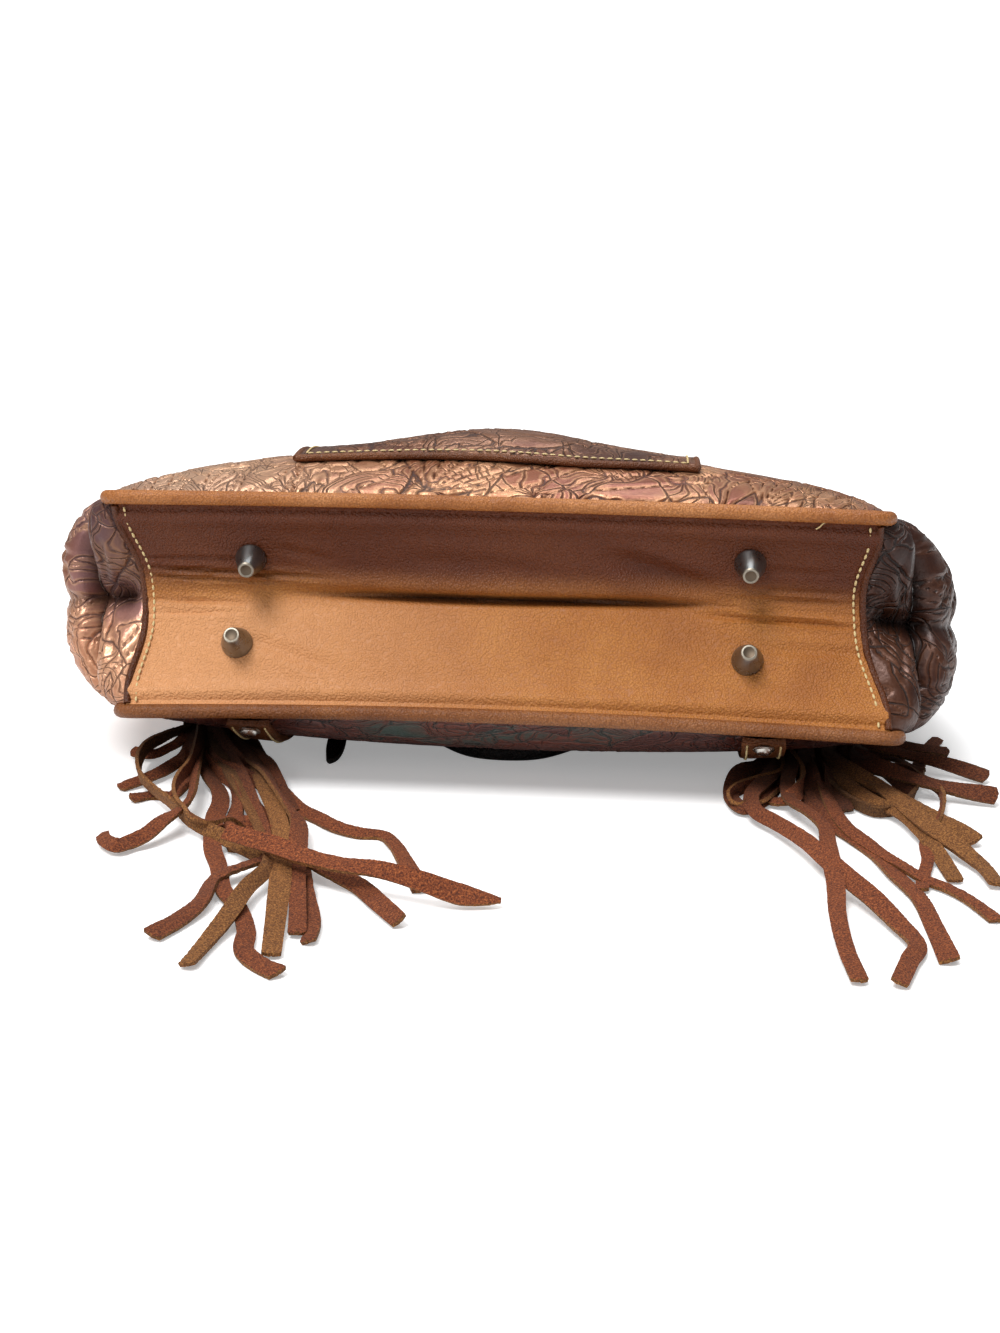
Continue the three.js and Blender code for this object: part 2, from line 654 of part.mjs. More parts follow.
function stripGeometry(head, row, layer) {
  const turns = [
    { share: 0, turn: row.root }, { share: 0.3, turn: row.first },
    { share: 0.65, turn: row.second }, { share: 1, turn: row.tip },
  ];
  const turnAt = follow(turns, 'share', 'turn');
  const step = row.length * STRIP_LENGTH / STRIP_STEPS;
  const place = head.clone();
  place.x += row.across * HEAD_WIDTH / 2;
  place.y += row.along * HEAD_LENGTH / 2;
  const grid = [];
  const normals = [];
  for (let i = 0; i <= STRIP_STEPS; i += 1) {
    const share = i / STRIP_STEPS;
    const turn = THREE.MathUtils.degToRad(turnAt(share));
    const ahead = new THREE.Vector3(Math.sin(turn), -Math.cos(turn), 0);
    if (i > 0) place.addScaledVector(ahead, step);
    const lean = THREE.MathUtils.degToRad(row.twist) * smoothstep(share, 0, 0.35);
    const across = new THREE.Vector3(ahead.y, -ahead.x, 0).multiplyScalar(Math.cos(lean));
    across.z = Math.sin(lean);
    const normal = across.clone().cross(ahead).normalize();
    const flat = STRIP_WIDTH / 2 * Math.sin(lean) + STRIP_WALL / 2 * Math.cos(lean);
    const low = flat + layer * (STRIP_WALL + SEAM_GAP) * (1 - smoothstep(share, 0.5, 0.9));
    const middle = place.clone();
    middle.z = Math.max(low, lerp(HEAD_HEIGHT / 2, low, smoothstep(share, 0, 0.25)));
    grid.push([-1, 1].map((edge) => middle.clone().addScaledVector(across, edge * STRIP_WIDTH / 2)));
    normals.push([normal, normal]);
  }
  return wallGeometry(grid, STRIP_WALL, normals);
}

function solidOf(geometry) {
  const bare = geometry.clone();
  bare.deleteAttribute('normal');
  if (bare.getAttribute('uv')) bare.deleteAttribute('uv');
  const merged = mergeVertices(bare, 1e-4);
  return new wasm.Manifold(new wasm.Mesh({
    numProp: 3,
    vertProperties: new Float32Array(merged.getAttribute('position').array),
    triVerts: new Uint32Array(merged.getIndex().array),
  }));
}

// Crossing strips can close a bubble between them, which the outer body leaves out
function geometryOf(solid) {
  const mesh = solid.decompose().find((piece) => piece.volume() > 0).getMesh();
  const geometry = new THREE.BufferGeometry();
  geometry.setAttribute('position', new THREE.BufferAttribute(new Float32Array(mesh.vertProperties), 3));
  geometry.setIndex(new THREE.BufferAttribute(new Uint32Array(mesh.triVerts), 1));
  geometry.computeVertexNormals();
  return geometry;
}

// The head is a flat oval that lies on the floor
function headGeometry(head) {
  const oval = new THREE.CylinderGeometry(0.5, 0.5, 1, 12);
  oval.rotateX(Math.PI / 2);
  oval.scale(HEAD_WIDTH, HEAD_LENGTH, HEAD_HEIGHT);
  oval.translate(head.x, head.y, HEAD_HEIGHT / 2);
  return oval;
}

// The neck is a tongue from the back of the head that runs up the face of its strap
function neckGeometry(head, end) {
  const u = end * STRAP_SPACING / 2;
  const seat = strapLift + STRAP_WALL / 2 + SEAM_GAP + FACET_CLEAR + STRIP_WALL / 2;
  const low = new THREE.Vector3(head.x, head.y + HEAD_LENGTH * 0.3, HEAD_HEIGHT / 2);
  const bend = onPanel('front', u, HEAD_ALONG - HEAD_LENGTH * 0.2, seat);
  const top = onPanel('front', u, HEAD_ALONG - NECK_REACH, seat);
  const grid = [low, low.clone().lerp(bend, 0.5), bend, top].map((middle) => [1, -1].map(
    (edge) => middle.clone().setX(middle.x + edge * NECK_WIDTH / 2)));
  return wallGeometry(grid, STRIP_WALL);
}

for (const [label, end, rows] of [['left', -1, LEFT_STRIPS], ['right', 1, RIGHT_STRIPS]]) {
  const head = floorUnder(end * (STRAP_SPACING / 2 + HEAD_SHIFT), HEAD_ALONG);
  let solid = solidOf(headGeometry(head)).add(solidOf(neckGeometry(head, end)));
  rows.forEach((row, i) => {
    solid = solid.add(solidOf(stripGeometry(head, row, i % STRIP_LAYERS)));
  });
  add(`tassel_${label}`, 'suede', geometryOf(solid));
}

// The origin is on the floor, in the middle of the whole purse
const box = new THREE.Box3().setFromObject(part);
const middle = box.getCenter(new THREE.Vector3());
body.position.set(-middle.x, -middle.y, -box.min.z);

export default part;
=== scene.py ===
# %% [markdown]
# This lesson dresses a tooled leather tote purse that lies on its front, so that its underside,
# with four metal feet, faces the camera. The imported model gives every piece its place.
# Each step says what a piece is on the real purse and why it is made the way it is.
# All lengths are worked out in millimetres, in the purse's own directions, and turned to metres
# once, when a mesh is written.

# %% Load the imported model
import math

import bpy
import numpy as np
from mathutils import Matrix, Vector, noise


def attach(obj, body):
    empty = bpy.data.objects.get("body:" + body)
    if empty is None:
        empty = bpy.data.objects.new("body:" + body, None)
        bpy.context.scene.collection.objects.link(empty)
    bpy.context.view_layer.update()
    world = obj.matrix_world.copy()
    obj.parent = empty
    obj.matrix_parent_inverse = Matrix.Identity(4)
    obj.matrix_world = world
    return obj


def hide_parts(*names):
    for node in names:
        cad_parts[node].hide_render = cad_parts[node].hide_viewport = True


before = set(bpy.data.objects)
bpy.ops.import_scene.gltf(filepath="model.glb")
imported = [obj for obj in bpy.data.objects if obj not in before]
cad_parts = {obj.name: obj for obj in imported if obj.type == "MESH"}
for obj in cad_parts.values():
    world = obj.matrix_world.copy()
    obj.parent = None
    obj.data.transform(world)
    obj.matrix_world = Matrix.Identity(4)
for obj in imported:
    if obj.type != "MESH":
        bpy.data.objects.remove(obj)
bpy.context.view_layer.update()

# %% [markdown]
# The purse was photographed from 0.8 m, 13 degrees above the floor and a little to the right.
# The camera is worked out from those few numbers: where the middle of the base appears in the
# picture fixes the direction, and a matrix from three axes places it without any tracking.

# %% Camera
SHIFT = np.array([-4.327, -143.753, 0.0])
PHOTO_WIDTH, PHOTO_HEIGHT = 1000, 1333
FOCAL_PIXELS = 1976
DISTANCE, ELEVATION, YAW, ROLL = 800, 13.0, 4.5, 0.8
BASE_MIDDLE = np.array([0.0, 0.0, 77.0])
MIDDLE_PIXEL = (497, 615)
CENTRE_PIXEL = (500, 667)


def turned(angle, first, second):
    return first * math.cos(angle) + second * math.sin(angle)


elevation, yaw, roll = (math.radians(a) for a in (ELEVATION, YAW, ROLL))
backwards = np.array([math.sin(yaw) * math.cos(elevation),
                      -math.cos(yaw) * math.cos(elevation), math.sin(elevation)])
eye = BASE_MIDDLE + DISTANCE * backwards
level_right = np.cross(-backwards, [0, 0, 1])
level_right /= np.linalg.norm(level_right)
level_up = np.cross(level_right, -backwards)
right = turned(roll, level_right, level_up)
up = turned(roll, level_up, -level_right)
aim_x = math.atan((MIDDLE_PIXEL[0] - CENTRE_PIXEL[0]) / FOCAL_PIXELS)
aim_y = math.atan((CENTRE_PIXEL[1] - MIDDLE_PIXEL[1]) / FOCAL_PIXELS)
forward = turned(aim_y, -backwards, -up)
up = turned(aim_y, up, -backwards)
forward, right = turned(aim_x, forward, -right), turned(aim_x, right, forward)

camera = bpy.data.objects.new("camera", bpy.data.cameras.new("camera"))
bpy.context.scene.collection.objects.link(camera)
camera.data.sensor_fit = "HORIZONTAL"
camera.data.sensor_width = 36
camera.data.lens = 36 * FOCAL_PIXELS / PHOTO_WIDTH
camera.data.clip_start = 0.05
axes = Matrix([list(right), list(up), list(-forward)]).transposed().to_4x4()
camera.matrix_world = Matrix.Translation(Vector((eye + SHIFT) / 1000)) @ axes
bpy.context.scene.camera = camera
print("camera at", list(camera.location), "lens", camera.data.lens)


def under_pixel(x, y, height):
    """The point, in purse millimetres, that a pixel shows at a height over the floor."""
    ray = (forward + right * (x - CENTRE_PIXEL[0]) / FOCAL_PIXELS
           + up * (CENTRE_PIXEL[1] - y) / FOCAL_PIXELS)
    return eye + ray * (height - eye[2]) / ray[2]


# %% [markdown]
# The background is plain white and the light is soft, so that shadows stay pale under the purse
# and the leather shows long dull highlights. One broad light comes from the front left, as the
# shadows of the feet tell, and two weaker ones fill the top and the front. The floor glows a little
# to the eye alone, as a lit studio table does, so that its shadows stay pale.

# %% Floor and light
bpy.context.scene.view_settings.view_transform = "Standard"


def only(obj):
    bpy.ops.object.select_all(action="DESELECT")
    obj.select_set(True)
    bpy.context.view_layer.objects.active = obj
    return obj


def srgb(code):
    values = [int(code[i:i + 2], 16) / 255 for i in (1, 3, 5)]
    return tuple(v / 12.92 if v <= 0.04045 else ((v + 0.055) / 1.055) ** 2.4 for v in values) + (1,)


def add(tree, kind, inputs=None, **settings):
    """A new node with its settings, and with its inputs linked or set."""
    node = tree.nodes.new(kind)
    for name, value in settings.items():
        setattr(node, name, value)
    for name, value in (inputs or {}).items():
        if isinstance(value, bpy.types.NodeSocket):
            tree.links.new(value, node.inputs[name])
        else:
            node.inputs[name].default_value = value
    return node


def new_material(name):
    material = bpy.data.materials.new(name)
    material.use_nodes = True
    tree = material.node_tree
    shader = tree.nodes["Principled BSDF"]
    return material, tree, shader


bpy.ops.object.select_all(action="DESELECT")
bpy.ops.mesh.primitive_grid_add(x_subdivisions=8, y_subdivisions=8, size=6, location=(0, 0, 0))
floor = bpy.context.object
floor.name = "floor"
material, tree, shader = new_material("studio_floor")
shader.inputs["Base Color"].default_value = srgb("#F6F6F6")
shader.inputs["Roughness"].default_value = 0.85
speck = add(tree, "ShaderNodeTexNoise", {"Scale": 90.0})
bump = add(tree, "ShaderNodeBump", {"Height": speck.outputs["Fac"], "Strength": 0.02})
tree.links.new(bump.outputs["Normal"], shader.inputs["Normal"])
seen = add(tree, "ShaderNodeLightPath").outputs["Is Camera Ray"]
glow = add(tree, "ShaderNodeMapRange", {"Value": seen, "To Min": 0.0, "To Max": 0.3})
shader.inputs["Emission Color"].default_value = (1, 1, 1, 1)
tree.links.new(glow.outputs["Result"], shader.inputs["Emission Strength"])
floor.data.materials.append(material)

world = bpy.data.worlds.new("studio")
world.use_nodes = True
seen = add(world.node_tree, "ShaderNodeLightPath").outputs["Is Camera Ray"]
strength = add(world.node_tree, "ShaderNodeMapRange", {"Value": seen, "To Min": 0.26, "To Max": 1.05})
background = world.node_tree.nodes["Background"]
background.inputs["Color"].default_value = (1, 1, 1, 1)
world.node_tree.links.new(strength.outputs["Result"], background.inputs["Strength"])
bpy.context.scene.world = world

sun = bpy.data.lights.new("key", "SUN")
sun.energy = 2.7
sun.angle = math.radians(28)
key = bpy.data.objects.new("key", sun)
key.matrix_world = Vector((-0.42, -0.62, 1.35)).to_track_quat("Z", "Y").to_matrix().to_4x4()
bpy.context.scene.collection.objects.link(key)
LIGHTS = [("top", (0.1, 0.25, 1.3), 0.9, 9.0), ("front", (-0.9, -1.3, 0.75), 0.5, 3.0)]
for name, place, size, power in LIGHTS:
    light = bpy.data.lights.new(name, "AREA")
    light.size = size
    light.energy = power
    lamp = bpy.data.objects.new(name, light)
    bpy.context.scene.collection.objects.link(lamp)
    towards = Vector((0, -0.1, 0.06)) - Vector(place)
    lamp.matrix_world = Matrix.Translation(place) @ towards.to_track_quat("-Z", "Y").to_matrix().to_4x4()
print("floor and", len(LIGHTS), "lights")

# %% [markdown]
# The purse is a soft box. Its walls are drawn from a few sizes: how wide, deep and high it is, and
# how full each side bulges at each height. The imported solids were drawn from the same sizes, so
# a wall made here lies exactly over its solid. First come the sizes, and a smooth curve through
# the rows of a short table.

# %% Sizes of the purse
BASE_WIDTH, BASE_DEPTH, BAG_HEIGHT = 320, 88, 260
MOUTH_DEPTH, MOUTH_FLARE, CORNER_RADIUS = 30, 7, 9
VALLEY_DEPTH, VALLEY_END_PULL, CREASE_ROUND, END_ROUND = 16, 7, 0.09, 0.42
BELLY = {"front": 17, "back": 29}
BOW = {"front": -3.5, "back": 1.5}
SIGN = {"front": -1, "back": 1}
BULGE = {"left": 33, "right": 30}
WALL, SEAM_GAP, FACET_CLEAR = 2.2, 0.35, 0.3
GUSSET_SEAM, GUSSET_FOLD, GUSSET_LAP = 27, 36, 6
PIPING_RADIUS, HANDLE_RADIUS = 3.0, 4.0
STRAP_WIDTH, STRAP_WALL, STRAP_SPACING, STRAP_REACH = 18, 2.5, 212, 224
REST_ANGLE, SKEW, SETTLE = math.radians(10.6), 0.08, 2.5
HALF_WIDTH, HALF_DEPTH = BASE_WIDTH / 2, BASE_DEPTH / 2
CORNER_ARC = CORNER_RADIUS * math.pi / 2
SECTION_HEIGHTS = (0.00, 0.06, 0.14, 0.24, 0.36, 0.55, 0.78, 1.00)
SECTION_DEPTHS = (1.00, 1.00, 0.97, 0.88, 0.74, 0.48, 0.20, 0.00)
FULLNESS = {"front": (0.00, 0.42, 0.80, 1.00, 0.96, 0.76, 0.50, 0.33),
            "back": (0.00, 0.38, 0.72, 0.96, 1.00, 0.84, 0.52, 0.36),
            "side": (0.30, 0.48, 0.80, 1.00, 1.00, 0.82, 0.52, 0.34)}
VALLEY_ACROSS = (-1.0, -0.5, 0.0, 0.5, 1.0)
VALLEY_PLACES = (0.09, 0.11, 0.09, 0.12, 0.09)


def follow(keys, values, at):
    """A smooth curve through a table's rows, the same one that the solids were drawn with."""
    keys, values = np.asarray(keys, float), np.asarray(values, float)
    at = np.clip(np.asarray(at, float), keys[0], keys[-1])
    i = np.clip(np.searchsorted(keys, at, side="right"), 1, len(keys) - 1)
    before = np.where(i > 1, i - 2, i)
    after = np.where(i < len(keys) - 1, np.minimum(i + 1, len(keys) - 1), i - 1)
    start, end = keys[i - 1], keys[i]
    half = (end - start) / 2
    first, last = half / (start - keys[before]), half / (keys[after] - end)
    p = (at - start) / (end - start)
    return ((-first * p**3 + 2 * first * p**2 - first * p) * values[before]
            + ((1 + first) * p**3 + (-1.5 - 2 * first) * p**2 + (-0.5 + first) * p + 1) * values[i - 1]
            + ((-1 - last) * p**3 + (1.5 + last) * p**2 + 0.5 * p) * values[i]
            + (last * p**3 - last * p**2) * values[after])


def smooth(value, low, high):
    share = np.clip((value - low) / (high - low), 0, 1)
    return share * share * (3 - 2 * share)


def mix(a, b, share):
    return a + (b - a) * share


# %% Walls of the purse as formulas
def seam_half_width(v):
    straight = HALF_WIDTH + MOUTH_FLARE * v / BAG_HEIGHT
    rise = np.clip(CORNER_RADIUS - v, 0, CORNER_RADIUS)
    return straight - CORNER_RADIUS + np.sqrt(CORNER_RADIUS**2 - rise**2)


def seam_depth(name, u, v):
    plain = mix(MOUTH_DEPTH / 2, HALF_DEPTH, follow(SECTION_HEIGHTS, SECTION_DEPTHS, v / BAG_HEIGHT))
    return plain + BOW[name] * np.maximum(0, 1 - (u / HALF_WIDTH) ** 2) * (1 - smooth(v, 0, GUSSET_FOLD))


def panel_point(name, turn, v):
    u = seam_half_width(v) * np.sin(turn)
    swell = BELLY[name] * follow(SECTION_HEIGHTS, FULLNESS[name], v / BAG_HEIGHT) * np.cos(turn)
    return np.stack([u, v + 0 * u, SIGN[name] * (seam_depth(name, u, v) + swell)], -1)


def tilted_height(p):
    return p[..., 2] * math.cos(REST_ANGLE) - p[..., 1] * math.sin(REST_ANGLE)


REST_CLEAR = 2 * HANDLE_RADIUS + SEAM_GAP + WALL / 2
belly = panel_point("front", 0 * np.linspace(0, 1, 41), BAG_HEIGHT * np.linspace(0, 1, 41))
BASE_LIFT = REST_CLEAR - min(0, tilted_height(belly).min()) - SETTLE
print("the middle of the base is", round(float(BASE_LIFT), 2), "mm over the floor")


def lay(p, settle=False):
    """Turns a point of the purse's own directions to where it lies on the floor."""
    z = BASE_LIFT + tilted_height(p)
    if settle:
        z = np.maximum(z, REST_CLEAR)
    return np.stack([p[..., 0] - SKEW * p[..., 2],
                     p[..., 1] * math.cos(REST_ANGLE) + p[..., 2] * math.sin(REST_ANGLE), z], -1)


def seam_point(name, run, end):
    angle = np.clip(run / CORNER_RADIUS, 0, math.pi / 2)
    v = np.where(run < 0, 0, np.where(run < CORNER_ARC, CORNER_RADIUS * (1 - np.cos(angle)),
                                      CORNER_RADIUS + run - CORNER_ARC))
    u = np.where(run < 0, HALF_WIDTH - CORNER_RADIUS + run,
                 np.where(run < CORNER_ARC, HALF_WIDTH - CORNER_RADIUS + CORNER_RADIUS * np.sin(angle),
                          seam_half_width(v)))
    return np.stack([end * u, v, SIGN[name] * seam_depth(name, end * u, v)], -1)


def fold_share(place, crease, rounding=CREASE_ROUND):
    away = np.where(place < crease, (crease - place) / (crease + 1), (place - crease) / (1 - crease))
    edge = np.hypot(1, rounding)
    return (edge - np.hypot(away, rounding)) / (edge - rounding)


def base_point(u, place):
    rounding = mix(CREASE_ROUND, END_ROUND, smooth(np.abs(u / HALF_WIDTH), 0.7, 0.98))
    fold = fold_share(place, follow(VALLEY_ACROSS, VALLEY_PLACES, u / HALF_WIDTH), rounding)
    pull = VALLEY_END_PULL * smooth(fold, 0.25, 1) * smooth(np.abs(u / HALF_WIDTH), 0.6, 1)
    front, back = seam_depth("front", u, 0), seam_depth("back", u, 0)
    return np.stack([u - np.sign(u) * pull, VALLEY_DEPTH * fold, mix(-front, back, (place + 1) / 2)], -1)


LAP_DROP = (WALL + SEAM_GAP + FACET_CLEAR) / math.cos(math.atan(VALLEY_DEPTH / HALF_DEPTH))


def gusset_point(end, bulge, run, share):
    seam = seam_point("back", run, 1)
    opened = smooth(run, 0, GUSSET_FOLD)
    crease = mix(follow(VALLEY_ACROSS, VALLEY_PLACES, end * seam[..., 0] / HALF_WIDTH), 0, opened)
    half = (1 + np.sin((share - 0.5) * math.pi)) / 2
    place = np.where(half < 0.5, mix(-1, crease, half * 2), mix(crease, 1, half * 2 - 1))
    fold = fold_share(place, crease, mix(END_ROUND, CREASE_ROUND, opened))
    swell = (bulge * follow(SECTION_HEIGHTS, FULLNESS["side"], seam[..., 1] / BAG_HEIGHT)
             * np.sqrt(np.maximum(0, 1 - place**2)) * opened)
    pulled = VALLEY_END_PULL * smooth(fold, 0.25, 1) * (1 - opened)
    front = seam_depth("front", seam[..., 0], seam[..., 1])
    back = seam_depth("back", seam[..., 0], seam[..., 1])
    return np.stack([end * (seam[..., 0] + swell - pulled),
                     seam[..., 1] + (VALLEY_DEPTH * fold + LAP_DROP) * (1 - opened),
                     mix(-front, back, (place + 1) / 2)], -1)


# %% [markdown]
# Every leather wall starts as a flat grid, which is then laid over a formula, the way a maker
# stretches a wet hide over a form. Pushing points along their normals adds folds and tooling, and
# Solidify gives the hide its thickness. A grid that is even keeps the tooling crisp all over.

# %% Helpers that turn a grid into a leather wall
LEATHER_INSET = 2.5
built = []


def inset_share(line, inset=LEATHER_INSET):
    """How far along a line it gets clear of the seam at its start, as a share of the line."""
    start = line(0.0)
    near, far = 0.0, 0.5
    for _ in range(14):
        middle = (near + far) / 2
        if np.linalg.norm(line(middle) - start) < inset:
            near = middle
        else:
            far = middle
    return far


def write_points(obj, points):
    metres = (points + SHIFT) / 1000
    obj.data.vertices.foreach_set("co", metres.astype(np.float32).ravel())
    obj.data.update()


def read_points(obj):
    flat = np.empty(len(obj.data.vertices) * 3, np.float32)
    obj.data.vertices.foreach_get("co", flat)
    return flat.reshape(-1, 3).astype(float) * 1000 - SHIFT


def laid_grid(name, columns, rows, place):
    """A grid whose points are at place(across, along), both from 0 to 1."""
    bpy.ops.object.select_all(action="DESELECT")
    bpy.ops.mesh.primitive_grid_add(x_subdivisions=columns, y_subdivisions=rows, size=2)
    obj = bpy.context.object
    obj.name = obj.data.name = name
    flat = np.empty(len(obj.data.vertices) * 3, np.float32)
    obj.data.vertices.foreach_get("co", flat)
    flat = (flat.reshape(-1, 3)[:, :2].astype(float) + 1) / 2
    write_points(obj, place(flat[:, 0], flat[:, 1]))
    return obj, flat[:, 0], flat[:, 1]


def face_outwards(obj, outwards):
    """Turns the faces round if they point away from the given side."""
    normals = np.empty(len(obj.data.polygons) * 3, np.float32)
    obj.data.polygons.foreach_get("normal", normals)
    if (normals.reshape(-1, 3) @ np.asarray(outwards, float)).mean() < 0:
        only(obj)
        bpy.ops.object.mode_set(mode="EDIT")
        bpy.ops.mesh.select_all(action="SELECT")
        bpy.ops.mesh.flip_normals()
        bpy.ops.object.mode_set(mode="OBJECT")
    return obj


def push(obj, amount):
    """Moves every point along its normal by so many millimetres."""
    normals = np.empty(len(obj.data.vertices) * 3, np.float32)
    obj.data.vertex_normals.foreach_get("vector", normals)
    write_points(obj, read_points(obj) + normals.reshape(-1, 3) * np.asarray(amount)[:, None])


def note(obj, name, values):
    """Keeps a number with every point, which the material reads."""
    layer = obj.data.attributes.new(name, "FLOAT", "POINT")
    layer.data.foreach_set("value", np.asarray(values, np.float32))


def finish_modifier(obj, kind, **settings):
    only(obj)
    modifier = obj.modifiers.new(kind.lower(), kind)
    for name, value in settings.items():
        setattr(modifier, name, value)
    bpy.ops.object.modifier_apply(modifier=modifier.name)


def wall(obj, thickness=WALL, lining=False):
    """Gives a hide its thickness, inwards from its finished face."""
    finish_modifier(obj, "SOLIDIFY", thickness=thickness / 1000, offset=-1.0, use_rim=True,
                    use_quality_normals=False, material_offset=1 if lining else 0)


def done(obj, slot, *nodes, materials=()):
    """Smooth shading, a finish, and the body that the piece rides on."""
    for one in materials:
        obj.data.materials.append(one)
    only(obj)
    bpy.ops.object.shade_smooth_by_angle(angle=math.radians(40))
    if nodes:
        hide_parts(*nodes)
    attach(obj, "root")
    obj.data.calc_loop_triangles()
    built.append((obj.name, len(obj.data.loop_triangles)))
    print(obj.name, len(obj.data.loop_triangles), "triangles")
    return obj


def creases(u, v, rows):
    """Soft folds: each row is a line from one point to another, a depth and a width."""
    total = np.zeros_like(u)
    for u0, v0, u1, v1, depth, width in rows:
        along = np.array([u1 - u0, v1 - v0], float)
        length = np.hypot(*along)
        along /= length
        t = (u - u0) * along[0] + (v - v0) * along[1]
        off = np.abs((v - v0) * along[0] - (u - u0) * along[1]) + 0.12 * np.sin(t / 7.0) * width
        fade = smooth(t, -0.05 * length, 0.25 * length) * (1 - smooth(t, 0.7 * length, 1.05 * length))
        total += fade * depth * (0.45 * np.exp(-((off - 1.7 * width) / width) ** 2)
                                 - np.exp(-(off / width) ** 2))
    return total


# %% [markdown]
# The cheeks, the back and the front are embossed with flowers, comma-shaped leaves and vines, the
# common scroll work of saddle makers. A mesh fine enough for every cut line would be huge, so each
# grid point keeps how far it is from the nearest cut instead. Between grid points that distance
# changes evenly, so the material can draw lines far thinner than the mesh. The same distance lifts
# the leaves off the ground as real relief.

# %% Scroll work as distances
def centre_line(x, y, heading, length, curl, bend=1.5, count=26):
    share = np.linspace(0, 1, count)
    turn = np.radians(heading) + np.radians(curl) * share**bend
    step = length / (count - 1)
    xs = x + np.concatenate([[0], np.cumsum(np.cos(turn[:-1]) * step)])
    ys = y + np.concatenate([[0], np.cumsum(np.sin(turn[:-1]) * step)])
    return np.stack([xs, ys], 1)


def near_line(points, line):
    """Distance to a line, and the share of its length there."""
    start, step = line[:-1], line[1:] - line[:-1]
    offset = points[:, None, :] - start[None]
    share = np.clip((offset * step).sum(2) / (step**2).sum(1), 0, 1)
    away = np.linalg.norm(offset - share[..., None] * step, axis=2)
    best = away.argmin(1)
    rows = np.arange(len(points))
    return away[rows, best], (best + share[rows, best]) / len(step)


def carve(field, chosen, inside):
    """Lays one shape over the shapes before it: inside is the distance in from its outline."""
    edge = field["edge"][chosen]
    behind = np.where(edge > 0, np.minimum(edge, -inside), np.maximum(edge, inside))
    field["edge"][chosen] = np.where(inside > 0, inside, behind)


def cut(field, chosen, away):
    """A cut line across whatever lies there."""
    edge = field["edge"][chosen]
    field["edge"][chosen] = np.where(edge > 0, np.minimum(edge, away), np.maximum(edge, -away))


def close_to(points, line, reach):
    return np.all((points > line.min(0) - reach) & (points < line.max(0) + reach), axis=1)


def carve_leaf(field, x, y, heading, length, width, curl):
    """A comma-shaped leaf with a lobed outline and a midrib."""
    line = centre_line(x, y, heading, length, curl)
    chosen = close_to(field["points"], line, width + 4)
    if not chosen.any():
        return
    away, share = near_line(field["points"][chosen], line)
    lobes = 1 + 0.13 * np.abs(np.sin(share * length / 5.2))
    half = width * lobes * (0.14 + 0.86 * np.sin(np.pi * np.clip(share * 1.03, 0, 1)) ** 0.75)
    inside = half - away
    carve(field, chosen, inside)
    rib = np.where((inside > 0) & (share < 0.86), away, 9.0)
    cut(field, chosen, rib + 0.15)


def carve_vine(field, x, y, heading, length, curl, width=1.7):
    line = centre_line(x, y, heading, length, curl, bend=1.0)
    chosen = close_to(field["points"], line, 6)
    if chosen.any():
        away, share = near_line(field["points"][chosen], line)
        carve(field, chosen, width * (1 - 0.4 * share) - away)


def carve_line(field, x, y, heading, length, curl):
    """A single cut with the swivel knife."""
    line = centre_line(x, y, heading, length, curl, bend=1.0)
    chosen = close_to(field["points"], line, 5)
    if chosen.any():
        cut(field, chosen, near_line(field["points"][chosen], line)[0])


def carve_fan(field, x, y, radius, turn, spread, petals):
    """A palmette: narrow petals that spread from one point."""
    offset = field["points"] - (x, y)
    away = np.hypot(offset[:, 0], offset[:, 1])
    chosen = away < radius + 5
    if not chosen.any():
        return
    away = away[chosen]
    angle = np.degrees(np.arctan2(offset[chosen, 1], offset[chosen, 0])) - turn
    angle = (angle + 180) % 360 - 180
    petal = (angle / spread + 0.5) * petals
    between = np.abs(petal - np.round(petal)) * np.radians(spread / petals) * away
    outline = radius * (0.82 + 0.18 * np.abs(np.sin(np.pi * petal)) ** 0.6)
    border = (spread / 2 - np.abs(angle)) * np.pi / 180 * away
    inside = np.minimum(outline - away, border)
    inside = np.where(inside > 0, np.minimum(inside, between + 0.05), inside)
    carve(field, chosen, inside)


def carve_flower(field, x, y, radius, turn):
    offset = field["points"] - (x, y)
    away = np.hypot(offset[:, 0], offset[:, 1])
    chosen = away < radius + 5
    if not chosen.any():
        return
    away, angle = away[chosen], np.arctan2(offset[chosen, 1], offset[chosen, 0]) - math.radians(turn)
    outline = radius * (0.68 + 0.32 * np.abs(np.cos(2.5 * angle)) ** 0.55)
    petal = (angle * 2.5 / math.pi + 0.5) % 1
    between = np.minimum(petal, 1 - petal) * math.pi / 2.5 * away
    heart = radius * 0.27
    inside = np.where(away < heart, heart - away,
                      np.minimum(np.minimum(outline - away, away - heart), between + 0.05))
    inside = np.where(away < outline, inside, outline - away)
    carve(field, chosen, inside)


